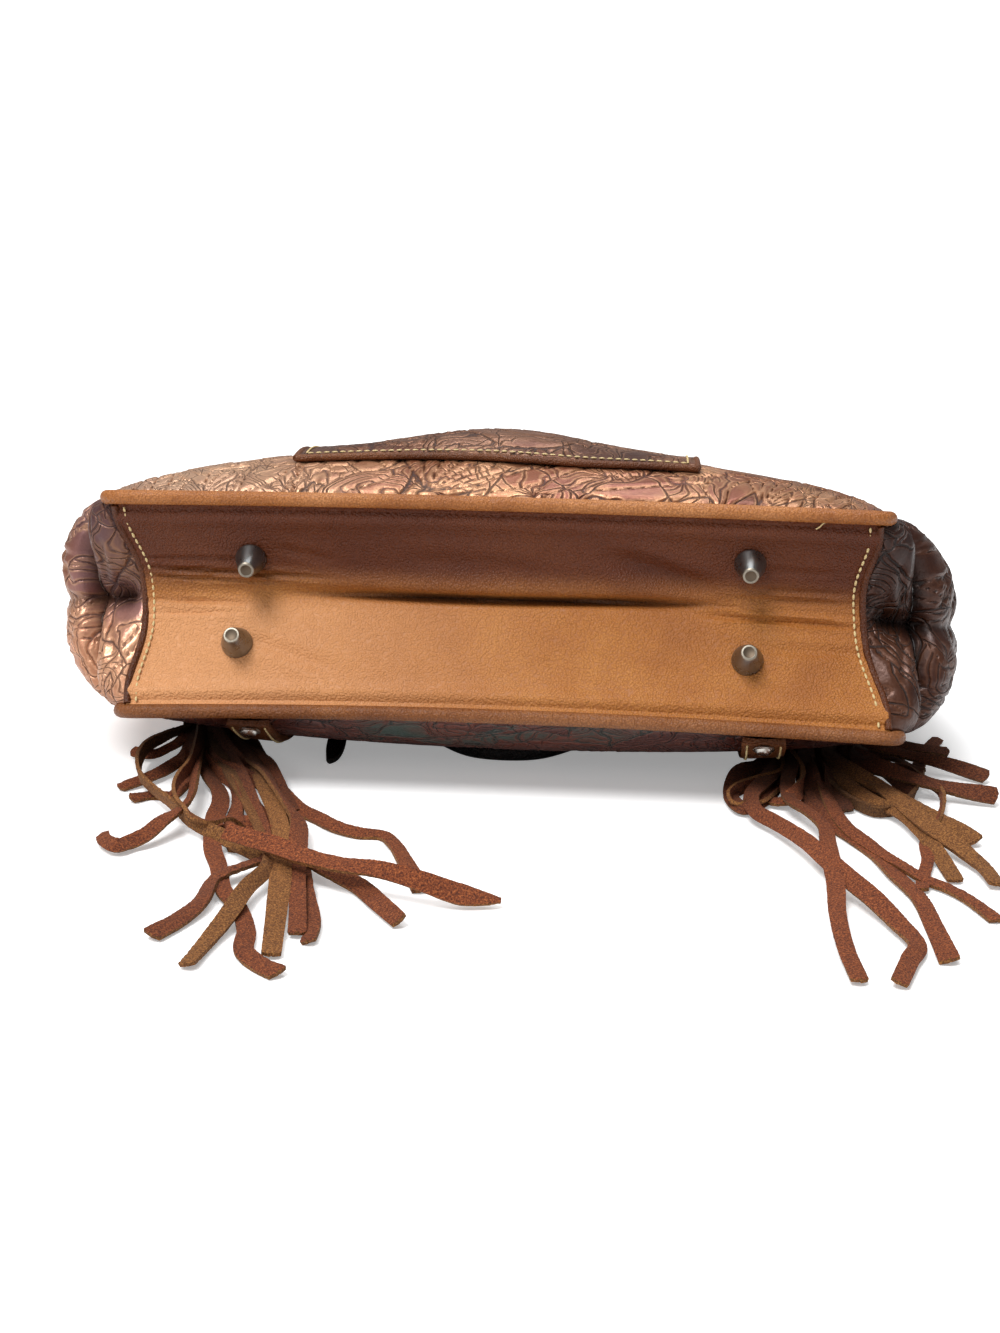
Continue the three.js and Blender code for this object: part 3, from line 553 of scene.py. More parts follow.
# Scroll work, placed one by one, of the part of the back that faces the camera
BACK_SCROLLS = [
    ("leaf", (-158, 2, 62, 46, 9, 70)), ("leaf", (-140, -2, 75, 56, 11, -120)),
    ("line", (-134, 2, 70, 44, 40)), ("line", (-126, 0, 62, 44, 50)), ("line", (-119, 0, 50, 44, 66)),
    ("leaf", (-112, 40, -80, 42, 9, 110)), ("fan", (-104, 0, 30, 50, 62, 5)),
    ("vine", (-90, -2, 78, 60, -12)), ("leaf", (-86, 4, 20, 34, 12, 96)),
    ("vine", (-71, -2, 66, 58, 8)), ("line", (-64, -2, 66, 40, 10)),
    ("flower", (-49, 22, 15, 20)), ("leaf", (-58, 2, 10, 40, 9, 70)),
    ("line", (-31, -2, 64, 60, -8)), ("fan", (-20, 2, 34, 66, 80, 7)),
    ("vine", (-22, 4, 4, 52, 64)), ("leaf", (-6, 4, 14, 54, 11, 60)), ("vine", (10, -2, 40, 60, -30)),
    ("leaf", (14, 2, 36, 50, 9, 24)), ("leaf", (30, 8, 12, 66, 10, 22)),
    ("line", (34, 20, 8, 60, 14)), ("leaf", (78, 2, 96, 46, 10, -130)),
    ("fan", (92, 0, 34, 70, 70, 6)), ("line", (104, -2, 100, 52, -60)), ("line", (110, -2, 96, 52, -60)),
    ("line", (116, -2, 92, 52, -58)), ("leaf", (122, -2, 84, 60, 11, -110)),
    ("line", (134, -2, 88, 44, -56)), ("line", (141, -2, 84, 42, -50)), ("leaf", (150, 0, 92, 40, 9, 80)),
]
CARVERS = {"leaf": carve_leaf, "line": carve_line, "fan": carve_fan, "vine": carve_vine,
           "flower": carve_flower}


def scroll_work(points, width, height, first_row=24.0, shift=0.0, placed=()):
    """Vines in rows, with leaves, fans and flowers on alternate sides."""
    field = {"points": points, "edge": np.full(len(points), -9.0)}
    row, count = first_row, 0
    while row < height + 40:
        x = -width / 2 - 40 + shift + 33 * (count % 2)
        side = 1 if count % 2 else -1
        while x < width / 2 + 30:
            carve_leaf(field, x + 10, row + 6 * side, 100 * side, 72, 12, -190 * side)
            carve_leaf(field, x + 30, row - 8 * side, -70 * side, 62, 11, 200 * side)
            carve_leaf(field, x + 46, row + 3 * side, 40 * side, 48, 9, -120 * side)
            carve_leaf(field, x + 20, row - 18 * side, -150 * side, 40, 8, -130 * side)
            carve_fan(field, x + 54, row - 12 * side, 24, -60 * side, 80, 6)
            carve_vine(field, x, row, -32 * side, 76, 74 * side)
            if (count + int((x + 400) / 66)) % 2:
                carve_flower(field, x + 58, row + 16 * side, 16, 20 + 31 * count)
            x += 66
            side = -side
        row += 46
        count += 1
    for kind, sizes in placed:
        CARVERS[kind](field, *sizes)
    return field


def relief(edge, height=0.75):
    """The height of the hide in millimetres: leaves up, ground down, and a cut round each shape."""
    shoulder = np.exp(-(((np.abs(edge) - 1.7) / 1.0) ** 2))
    return height * (0.5 * smooth(edge, -0.4, 2.2) + 0.35 * shoulder - 0.75 * np.exp(-((edge / 0.8) ** 2)))


# %% [markdown]
# The materials come next. Finished cowhide has a fine pebble grain, here cells of about 0.9 mm,
# and a satin top coat. Large faint blotches keep it from looking like paint. The base and the
# piping are the same hide, the piping a little more worn and wrinkled, so one function makes both.

# %% Finished leather
def share_of(tree, attribute):
    return add(tree, "ShaderNodeAttribute", attribute_name=attribute).outputs["Fac"]


def coloured_by(tree, attribute, colour, code, kind="MIX"):
    """Mixes a colour in by a number that the mesh keeps."""
    return add(tree, "ShaderNodeMix", {"Factor": share_of(tree, attribute), "A": colour,
                                       "B": srgb(code)}, data_type="RGBA", blend_type=kind).outputs["Result"]


def satin_leather(name, dark, plain, light, cell, roughness, grain=0.8, wrinkle=0.0,
                  painted_shade_and_tone="#8C6A48", painted_light="#DC9C68"):
    material, tree, shader = new_material(name)
    place = add(tree, "ShaderNodeTexCoord").outputs["Object"]
    blotch = add(tree, "ShaderNodeTexNoise", {"Vector": place, "Scale": 16.0, "Detail": 5.0,
                                              "Roughness": 0.6})
    tone = add(tree, "ShaderNodeValToRGB", {"Fac": blotch.outputs["Fac"]})
    tone.color_ramp.elements[0].position = 0.3
    tone.color_ramp.elements[0].color = srgb(dark)
    tone.color_ramp.elements[1].position = 0.72
    tone.color_ramp.elements[1].color = srgb(light)
    tone.color_ramp.elements.new(0.5).color = srgb(plain)
    pebble = add(tree, "ShaderNodeTexVoronoi", {"Vector": place, "Scale": 1000 / cell,
                                                "Randomness": 1.0})
    warp = add(tree, "ShaderNodeTexNoise", {"Vector": place, "Scale": 420.0, "Detail": 6.0,
                                            "Roughness": 0.7})
    lines = add(tree, "ShaderNodeMapRange", {"Value": pebble.outputs["Distance"],
                                             "From Min": 0.25, "From Max": 0.75})
    soft = add(tree, "ShaderNodeMath", {0: lines.outputs["Result"], 1: 0.55}, operation="MULTIPLY")
    speckle = add(tree, "ShaderNodeMix", {"Factor": soft.outputs[0],
                                          "A": tone.outputs["Color"], "B": srgb(dark)},
                  data_type="RGBA")
    # painted highlight: a lighter colour is mixed in where the mesh asks for it
    colour = coloured_by(tree, "painted_light", speckle.outputs["Result"], painted_light)
    # painted shade, and on some pieces a darker tone, is multiplied in where the mesh asks for it
    colour = coloured_by(tree, "painted_shade_and_tone", colour, painted_shade_and_tone, "MULTIPLY")
    # painted shade: creases are darkened nearly to black where the mesh asks for it
    tree.links.new(coloured_by(tree, "painted_crease_shade", colour, "#1C0B06"), shader.inputs["Base Color"])
    rough = add(tree, "ShaderNodeMapRange", {"Value": warp.outputs["Fac"], "To Min": roughness - 0.06,
                                             "To Max": roughness + 0.10})
    tree.links.new(rough.outputs["Result"], shader.inputs["Roughness"])
    grains = add(tree, "ShaderNodeBump", {"Height": lines.outputs["Result"], "Strength": grain,
                                          "Distance": 0.0004}, invert=True)
    pores = add(tree, "ShaderNodeBump", {"Height": warp.outputs["Fac"], "Strength": grain * 0.8,
                                         "Distance": 0.0006, "Normal": grains.outputs["Normal"]})
    last = pores
    if wrinkle:
        stretch = add(tree, "ShaderNodeMapping", {"Vector": place, "Scale": (240.0, 60.0, 60.0)})
        ripple = add(tree, "ShaderNodeTexNoise", {"Vector": stretch.outputs["Vector"], "Scale": 2.2,
                                                  "Detail": 4.0})
        last = add(tree, "ShaderNodeBump", {"Height": ripple.outputs["Fac"], "Strength": wrinkle,
                                            "Distance": 0.0012, "Normal": pores.outputs["Normal"]})
    tree.links.new(last.outputs["Normal"], shader.inputs["Normal"])
    shader.inputs["Specular IOR Level"].default_value = 0.35
    shader.inputs["Coat Weight"].default_value = 0.05
    shader.inputs["Coat Roughness"].default_value = 0.35
    return material


base_leather = satin_leather("satin_cowhide", "#935626", "#B06E30", "#C58440", 0.95, 0.42)
piping_leather = satin_leather("piping_cowhide", "#82481E", "#B27038", "#D0905A", 0.9, 0.40,
                               grain=0.7, wrinkle=0.5, painted_shade_and_tone="#86705E")
strap_leather = satin_leather("strap_cowhide", "#552C14", "#71401F", "#8A5530", 0.8, 0.42)
# the handle hide is dark leather darkened further to near black as painted shade, for the handles lie under the
# purse
handle_leather = satin_leather("shade_darkened_handle_hide", "#0D0A09", "#17110E", "#241A15", 0.9, 0.36)


# %% [markdown]
# Embossed hide is pressed with a hot plate, rubbed with a metallic brown wax that stays on the
# high places, and antiqued so that the cuts turn nearly black. The material reads the distance that
# the mesh keeps: near a cut it is dark and matt, on a leaf it is copper, and a thin band beside each
# cut is lightened as a painted highlight of its ridge. Inside each shape it draws finer cuts, fans of
# rays or rings, round seeds strewn over the flat hide. Three more numbers of a point give painted
# shade, with a darker tone on some pieces, a painted highlight, and painted shade in the creases.

# %% Tooled leather
def tooled(name, ground, leaf, wax, cut, tint, tint_share, metal, cell=30.0, paint=None,
           painted_shade_and_tone="#B0A8B0", painted_light="#E2BC9E"):
    material, tree, shader = new_material(name)

    def math_of(operation, first, second=0.0):
        return add(tree, "ShaderNodeMath", {0: first, 1: second}, operation=operation).outputs[0]

    def ramp(value, low, high, start=0.0, end=1.0):
        return add(tree, "ShaderNodeMapRange", {"Value": value, "From Min": low, "From Max": high,
                                                "To Min": start, "To Max": end},
                   interpolation_type="SMOOTHSTEP").outputs["Result"]

    def blend(share, first, second):
        return add(tree, "ShaderNodeMix", {"Factor": share, "A": first, "B": second},
                   data_type="RGBA").outputs["Result"]

    place = add(tree, "ShaderNodeTexCoord").outputs["Object"]
    edge = share_of(tree, "edge")
    flat = add(tree, "ShaderNodeCombineXYZ", {"X": share_of(tree, "flat_u"),
                                              "Y": share_of(tree, "flat_v")}).outputs[0]
    bent = add(tree, "ShaderNodeTexNoise", {"Vector": flat, "Scale": 0.045, "Detail": 1.0})
    bend = add(tree, "ShaderNodeVectorMath", {0: bent.outputs["Color"], 1: (26, 26, 0)},
               operation="MULTIPLY")
    moved = add(tree, "ShaderNodeVectorMath", {0: flat, 1: bend.outputs[0]}, operation="ADD")
    cells = add(tree, "ShaderNodeVectorMath", {0: moved.outputs[0], 1: (1 / cell, 1 / cell, 0)},
                operation="MULTIPLY").outputs[0]
    near = add(tree, "ShaderNodeTexVoronoi", {"Vector": cells, "Scale": 1.0, "Randomness": 0.9},
               voronoi_dimensions="2D")
    border = add(tree, "ShaderNodeTexVoronoi", {"Vector": cells, "Scale": 1.0, "Randomness": 0.9},
                 voronoi_dimensions="2D", feature="DISTANCE_TO_EDGE")
    local = add(tree, "ShaderNodeVectorMath", {0: cells, 1: near.outputs["Position"]},
                operation="SUBTRACT")
    parts = add(tree, "ShaderNodeSeparateXYZ", {"Vector": local.outputs[0]})
    chance = add(tree, "ShaderNodeSeparateXYZ", {"Vector": near.outputs["Color"]})
    angle = math_of("ADD", math_of("ARCTAN2", parts.outputs["Y"], parts.outputs["X"]),
                    math_of("MULTIPLY", chance.outputs["X"], 6.283))
    radius = math_of("MULTIPLY", near.outputs["Distance"], cell)
    petals = 13
    swirl = math_of("ADD", math_of("MULTIPLY", angle, petals / 6.2832),
                    math_of("MULTIPLY", radius, 0.11))
    rays = math_of("MULTIPLY", math_of("PINGPONG", swirl, 0.5),
                   math_of("MULTIPLY", radius, 6.2832 / petals))
    arcs = math_of("MULTIPLY", math_of("PINGPONG", math_of("MULTIPLY", radius, 1 / 3.4), 0.5), 3.4)
    half = ramp(math_of("SINE", angle), -0.35, -0.30)
    strokes = add(tree, "ShaderNodeMix", {"Factor": half, "A": arcs, "B": rays},
                  data_type="FLOAT").outputs["Result"]
    plain = math_of("MULTIPLY", math_of("GREATER_THAN", chance.outputs["Y"], 0.74), 9.0)
    strokes = math_of("ADD", math_of("MAXIMUM", strokes, plain), 0.12)
    outline = math_of("ABSOLUTE", edge)
    shapes = math_of("MINIMUM", outline, math_of("MULTIPLY", border.outputs["Distance"], cell))
    wobble = add(tree, "ShaderNodeTexNoise", {"Vector": flat, "Scale": 0.7, "Detail": 2.0})
    sway = math_of("MULTIPLY", math_of("SUBTRACT", wobble.outputs["Fac"], 0.5), 0.5)
    away = math_of("ADD", math_of("MINIMUM", strokes, shapes), sway)
    groove = ramp(away, 0.06, 0.34, 1.0, 0.0)
    # painted highlight: a narrow band beside every cut, standing for light on its ridge
    ridge_highlight = math_of("MULTIPLY", ramp(away, 0.3, 0.55), ramp(away, 0.8, 1.5, 1.0, 0.0))
    on_leaf = ramp(edge, 0.0, 1.2)
    blotch = add(tree, "ShaderNodeTexNoise", {"Vector": place, "Scale": 30.0, "Detail": 6.0,
                                              "Roughness": 0.65}).outputs["Fac"]
    fine = add(tree, "ShaderNodeTexNoise", {"Vector": place, "Scale": 900.0, "Detail": 3.0}).outputs["Fac"]
    dots = add(tree, "ShaderNodeTexVoronoi", {"Vector": place, "Scale": 700.0}).outputs["Distance"]
    base = srgb(ground)
    if paint:
        base = blend(share_of(tree, "paint"), srgb(ground), srgb(paint))
    coloured = blend(on_leaf, base, srgb(leaf))
    tinted = blend(ramp(add(tree, "ShaderNodeTexNoise", {"Vector": place, "Scale": 9.0,
                                                         "Detail": 2.0}).outputs["Fac"],
                        0.46, 0.66, 0.0, tint_share), coloured, srgb(tint))
    # the blotches are rubbed wax, which is real wear; the band beside the cuts added to them is a painted
    # highlight
    wax_wear_and_ridge_highlight = math_of("ADD", math_of("MULTIPLY", ramp(blotch, 0.42, 0.64), 0.65),
                     math_of("MULTIPLY", ridge_highlight, 0.55))
    waxed = blend(math_of("MINIMUM", wax_wear_and_ridge_highlight, 1.0), tinted, srgb(wax))
    # a painted highlight is mixed in, then painted shade, with a darker tone on some pieces, is multiplied in
    aged = coloured_by(tree, "painted_shade_and_tone", coloured_by(tree, "painted_light", waxed, painted_light), painted_shade_and_tone, "MULTIPLY")
    inked = blend(math_of("MULTIPLY", groove, 0.85), aged, srgb(cut))
    # painted shade: creases are darkened to the cut colour
    tree.links.new(coloured_by(tree, "painted_crease_shade", inked, cut), shader.inputs["Base Color"])
    tree.links.new(ramp(groove, 0.0, 1.0, metal, 0.0), shader.inputs["Metallic"])
    tree.links.new(math_of("ADD", ramp(fine, 0.3, 0.7, 0.30, 0.46), math_of("MULTIPLY", groove, 0.4)),
                   shader.inputs["Roughness"])
    cut_bump = add(tree, "ShaderNodeBump", {"Height": ramp(away, 0.0, 0.8), "Strength": 1.0,
                                            "Distance": 0.0006})
    stamped = add(tree, "ShaderNodeMix", {"Factor": on_leaf, "A": dots, "B": fine},
                  data_type="FLOAT").outputs["Result"]
    stamp_bump = add(tree, "ShaderNodeBump", {"Height": stamped, "Strength": 0.35, "Distance": 0.0004,
                                              "Normal": cut_bump.outputs["Normal"]})
    tree.links.new(stamp_bump.outputs["Normal"], shader.inputs["Normal"])
    shader.inputs["Coat Weight"].default_value = 0.1
    shader.inputs["Coat Roughness"].default_value = 0.3
    return material


tooled_leather = tooled("embossed_copper_hide", "#6E3C24", "#884E32", "#C4926C", "#2A120A",
                        "#7C5468", 0.18, 0.5)
# Lit and shaded copies of one hide: the left cheek, towards the light, gets pale copper colours as painted light,
# and the right cheek gets near-black browns as painted shade
lit_left_cheek_leather = tooled("lit_embossed_left_cheek_hide", "#8A5638", "#A06648", "#D8A684", "#35190F",
                            "#A088AA", 0.4, 0.45, cell=25.0, painted_shade_and_tone="#968A82", painted_light="#D69A74")
shaded_right_cheek_leather = tooled("shaded_embossed_right_cheek_hide", "#34190F", "#3E1F14", "#5E3824", "#120704",
                             "#3C1C14", 0.2, 0.3, cell=25.0, painted_shade_and_tone="#B8A494")
CHEEK_LEATHER = {"left": lit_left_cheek_leather, "right": shaded_right_cheek_leather}
# painted shade: the dyed front's own maroon and turquoise are darkened further to the shade it lies in, face down
# on the floor
painted_leather = tooled("shade_darkened_painted_hide", "#26110F", "#421B16", "#663224", "#0E0504",
                         "#2C0E0D", 0.35, 0.2, cell=21.0, paint="#3C4A43")

# %% [markdown]
# Suede is the flesh side of a split hide. It has a short nap with coarse specks, no shine at all,
# and a soft rim light, which the sheen gives. The fringe is cut from it, and each strip keeps its
# own tone, from rust to tan, because the pieces come from different places of a hide. The same tone
# number also carries painted shade: it darkens the strips towards their roots under the purse.

# %% Suede, metal, thread and lining
def suede(name, dark, plain, light, sheen):
    material, tree, shader = new_material(name)
    place = add(tree, "ShaderNodeTexCoord").outputs["Object"]
    tone = add(tree, "ShaderNodeAttribute", attribute_name="tone").outputs["Fac"]
    nap = add(tree, "ShaderNodeTexNoise", {"Vector": place, "Scale": 1500.0, "Detail": 4.0,
                                           "Roughness": 0.7})
    specks = add(tree, "ShaderNodeTexVoronoi", {"Vector": place, "Scale": 950.0})
    ramp = add(tree, "ShaderNodeValToRGB", {"Fac": nap.outputs["Fac"]})
    ramp.color_ramp.elements[0].position = 0.36
    ramp.color_ramp.elements[0].color = srgb(dark)
    ramp.color_ramp.elements[1].position = 0.66
    ramp.color_ramp.elements[1].color = srgb(light)
    ramp.color_ramp.elements.new(0.5).color = srgb(plain)
    shift = add(tree, "ShaderNodeHueSaturation", {"Color": ramp.outputs["Color"], "Value": tone})
    tree.links.new(shift.outputs["Color"], shader.inputs["Base Color"])
    shader.inputs["Roughness"].default_value = 0.95
    shader.inputs["Sheen Weight"].default_value = sheen
    shader.inputs["Sheen Roughness"].default_value = 0.5
    shader.inputs["Sheen Tint"].default_value = srgb("#C88A5A")
    rough = add(tree, "ShaderNodeBump", {"Height": nap.outputs["Fac"], "Strength": 0.6,
                                         "Distance": 0.0008})
    tufts = add(tree, "ShaderNodeBump", {"Height": specks.outputs["Distance"], "Strength": 0.4,
                                         "Distance": 0.0004, "Normal": rough.outputs["Normal"]})
    tree.links.new(tufts.outputs["Normal"], shader.inputs["Normal"])
    return material


rust_suede = suede("rust_suede", "#34150A", "#6C3318", "#A05A2E", 0.08)
tan_suede = suede("tan_suede", "#42250F", "#744720", "#A8743C", 0.08)


def worn_metal(name, colour, scratch, roughness):
    material, tree, shader = new_material(name)
    place = add(tree, "ShaderNodeTexCoord").outputs["Object"]
    smear = add(tree, "ShaderNodeTexNoise", {"Vector": place, "Scale": 160.0, "Detail": 6.0,
                                             "Roughness": 0.7})
    tone = add(tree, "ShaderNodeMix", {"Factor": smear.outputs["Fac"], "A": srgb(colour),
                                       "B": srgb(scratch)}, data_type="RGBA")
    tree.links.new(tone.outputs["Result"], shader.inputs["Base Color"])
    shader.inputs["Metallic"].default_value = 1.0
    rough = add(tree, "ShaderNodeMapRange", {"Value": smear.outputs["Fac"], "To Min": roughness - 0.08,
                                             "To Max": roughness + 0.14})
    tree.links.new(rough.outputs["Result"], shader.inputs["Roughness"])
    fine = add(tree, "ShaderNodeTexNoise", {"Vector": place, "Scale": 1500.0, "Detail": 2.0})
    bump = add(tree, "ShaderNodeBump", {"Height": fine.outputs["Fac"], "Strength": 0.08,
                                        "Distance": 0.0002})
    tree.links.new(bump.outputs["Normal"], shader.inputs["Normal"])
    return material


gunmetal = worn_metal("gunmetal_plate", "#707476", "#9A9C9C", 0.26)
gunmetal_tip = worn_metal("rubbed_gunmetal_rim", "#827A6E", "#A8A092", 0.4)
gunmetal_face = worn_metal("dull_gunmetal_face", "#54483C", "#77695A", 0.5)
nickel = worn_metal("nickel_plate", "#B9B6B0", "#D8D4CC", 0.24)


def waxed_thread(name, colour, shade):
    material, tree, shader = new_material(name)
    place = add(tree, "ShaderNodeTexCoord").outputs["Object"]
    twist = add(tree, "ShaderNodeTexWave", {"Vector": place, "Scale": 900.0, "Distortion": 3.0},
                bands_direction="DIAGONAL")
    tone = add(tree, "ShaderNodeMix", {"Factor": twist.outputs["Fac"], "A": srgb(shade),
                                       "B": srgb(colour)}, data_type="RGBA")
    tree.links.new(tone.outputs["Result"], shader.inputs["Base Color"])
    shader.inputs["Roughness"].default_value = 0.6
    bump = add(tree, "ShaderNodeBump", {"Height": twist.outputs["Fac"], "Strength": 0.3,
                                        "Distance": 0.0002})
    tree.links.new(bump.outputs["Normal"], shader.inputs["Normal"])
    return material


cream_thread = waxed_thread("cream_waxed_thread", "#EBD8A4", "#BC9C64")


def lining_cloth(name, light, dark):
    material, tree, shader = new_material(name)
    place = add(tree, "ShaderNodeTexCoord").outputs["Object"]
    weave = add(tree, "ShaderNodeTexChecker", {"Vector": place, "Color1": srgb(light),
                                               "Color2": srgb(dark), "Scale": 1400.0})
    tree.links.new(weave.outputs["Color"], shader.inputs["Base Color"])
    bump = add(tree, "ShaderNodeBump", {"Height": weave.outputs["Fac"], "Strength": 0.3,
                                        "Distance": 0.0003})
    tree.links.new(bump.outputs["Normal"], shader.inputs["Normal"])
    shader.inputs["Roughness"].default_value = 0.85
    return material


lining = lining_cloth("twill_lining", "#4A382C", "#3A2B22")
print(len(bpy.data.materials), "materials")

# %% [markdown]
# The base is one hide that folds inwards along a valley. Weight and wear have pushed the fold off
# the middle, and thin wrinkles run in from both ends, where the leather is gathered into the seam.
# The valley itself is in the formula, and the creases are pushed in as soft lines.

# %% Base
BASE_REACH = HALF_WIDTH - CORNER_RADIUS / 2
# Each row is a line from (across, down) to (across, down), a depth and a width
BASE_CREASES = [
    (-158, 17, -62, 12, 1.3, 1.1), (-158, 13, -84, 10, 0.9, 1.0), (-158, 21, -96, 20, 0.7, 1.1),
    (-158, 2, -96, 0, 0.9, 1.2), (-156, -4, -108, -4, 0.6, 1.2), (-92, 26, -66, 20, 0.6, 2.2),
    (158, -1, 76, 1, 1.9, 1.4), (156, 9, 88, 9, 0.8, 1.3), (156, 14, 96, 13, 0.6, 1.2),
    (158, -12, 104, -13, 1.1, 2.4), (92, 12, 40, 27, 2.0, 4.5), (146, 22, 100, 22, 0.5, 1.6),
    (-108, -14, -66, -30, 0.9, 3.0), (-40, 22, 26, 18, 0.8, 4.0), (16, -20, 40, -38, 0.5, 5.0),
]
LIP_HEIGHT, LIP_AWAY, LIP_WIDTH = 2.4, 6.0, 3.6
CLEFT_DEPTH, CLEFT_WIDTH = 6.0, 2.0
SEAM_ROLL, SEAM_ROLL_AWAY = 1.1, 6.0


def on_base(across, along):
    u = (across * 2 - 1) * BASE_REACH
    inset = LEATHER_INSET / HALF_DEPTH
    place = (along * 2 - 1) * (1 - inset)
    return lay(base_point(u, place))


base, across, along = laid_grid("base_hide", 210, 84, on_base)
face_outwards(base, (0, -1, 0))
base_u, base_w = (across * 2 - 1) * BASE_REACH, (along * 2 - 1) * HALF_DEPTH
slack = 0.7 * np.sin(base_u / 31 + 1.0) * np.sin(base_w / 13 + 0.6) * smooth(44 - np.abs(base_w), 0, 14)
from_valley = base_w - HALF_DEPTH * follow(VALLEY_ACROSS, VALLEY_PLACES, base_u / HALF_WIDTH)
middle = np.exp(-(((base_u - 6) / 74) ** 4))
cleft = CLEFT_DEPTH * middle * np.exp(-((from_valley / CLEFT_WIDTH) ** 2))
lip = LIP_HEIGHT * np.exp(-(((base_u + 20) / 74) ** 2)) * np.exp(-(((from_valley - LIP_AWAY) / LIP_WIDTH) ** 2))
from_seam = HALF_DEPTH - np.abs(base_w)
roll = (SEAM_ROLL * np.exp(-(((from_seam - SEAM_ROLL_AWAY) / 3.5) ** 2))
        - 1.2 * np.exp(-(((from_seam - 2) / 1.6) ** 2)))
push(base, WALL / 2 + creases(base_u, base_w, BASE_CREASES) + slack + lip - cleft + roll)
# painted shade: the base darkens from its valley towards the back seam, the half that faces down away from the
# light
note(base, "painted_shade_and_tone", smooth(from_valley, -3, 15))
# painted light: the front half of the base is lightened towards its left end, where the light falls
note(base, "painted_light", 0.85 * smooth(-base_u, -60, 150) * (1 - smooth(from_valley, -8, 2)))
# painted shade: a narrow line along the cleft of the valley is darkened
note(base, "painted_crease_shade", 0.9 * middle * np.exp(-((from_valley / 1.5) ** 2)))
wall(base, lining=True)
done(base, "base_leather", "base_panel", materials=(base_leather, lining))

# %% [markdown]
# The back and the front are sewn to the base with piping between them. Each is laid over its
# formula, its scroll work is carved, and its relief is pushed up before the hide is given a wall.
# Rows are closer together near the base, where the camera is.

# %% Back and front
def panel_row(along, low_share):
    return mix(LEATHER_INSET, BAG_HEIGHT, along * (low_share + (1 - low_share) * along))


def panel_maker(name, low_share):
    settle = name == "front"

    def place(across, along):
        v = panel_row(along, low_share)
        rows = np.unique(np.round(v, 6))
        starts = np.array([inset_share(lambda s: panel_point(name, (s - 0.5) * math.pi, row))
                           for row in rows])
        start = np.interp(v, rows, starts)
        turn = (mix(start, 1 - start, across) - 0.5) * math.pi
        return lay(panel_point(name, turn, v), settle)
    return place


def panel_flat(name, across, along, low_share):
    v = panel_row(along, low_share)
    return (across * 2 - 1) * (HALF_WIDTH + BELLY[name] * 0.4), v


back, across, along = laid_grid("back_hide", 300, 128, panel_maker("back", 0.5))
face_outwards(back, (0, 0, 1))
back_u, back_v = panel_flat("back", across, along, 0.5)
back_field = scroll_work(np.stack([back_u, back_v], 1), 340, 260, first_row=70, placed=BACK_SCROLLS)
note(back, "edge", back_field["edge"])
note(back, "flat_u", back_u)
note(back, "flat_v", back_v)
# painted highlight: the back is lightened towards its left end, near the base
note(back, "painted_light", 0.5 * smooth(-back_u, 10, 120) * (1 - smooth(back_v, 60, 120)))
BACK_CREASES = [
    (-66, 2, -62, 34, 0.9, 1.0), (-58, 2, -55, 30, 0.6, 0.9), (118, 6, 148, 44, 1.0, 1.6),
    (100, 8, 128, 52, 0.8, 1.6), (-150, 12, -112, 40, 0.9, 2.0), (-90, 120, 60, 132, 1.6, 5.0),
    (-60, 190, 120, 176, 1.4, 5.0), (-160, 70, -90, 84, 1.4, 3.0), (90, 76, 164, 96, 1.4, 3.0),
]
tucked = 1.4 * np.exp(-(((back_v - 3) / 1.6) ** 2))
push(back, WALL / 2 + relief(back_field["edge"]) + creases(back_u, back_v, BACK_CREASES) - tucked)
wall(back, lining=True)
done(back, "tooled_leather", "back_panel", materials=(tooled_leather, lining))

front, across, along = laid_grid("front_hide", 200, 90, panel_maker("front", 0.35))
face_outwards(front, (0, 0, -1))
front_u, front_v = panel_flat("front", across, along, 0.35)
front_field = scroll_work(np.stack([front_u, front_v], 1), 340, 260, first_row=14, shift=11)
note(front, "edge", front_field["edge"])
note(front, "flat_u", front_u)
note(front, "flat_v", front_v)
note(front, "paint", smooth(front_u, -62, -34) * (1 - smooth(front_u, 48, 74)))
push(front, WALL / 2 - 0.4 + 0.6 * relief(front_field["edge"]))
wall(front, lining=True)
done(front, "painted_leather", "front_panel", materials=(painted_leather, lining))

# %% [markdown]
# Each end of the purse is a gusset in two parts, joined by a seam a little above the base. Because
# the purse is empty and lies flat, the gusset buckles: a deep crease runs on from the valley of
# the base and parts it into two round cheeks. The crease and the tuck at the seam are pushed in.

# %% Gussets
SEAM_RUN = BAG_HEIGHT - CORNER_RADIUS + CORNER_ARC


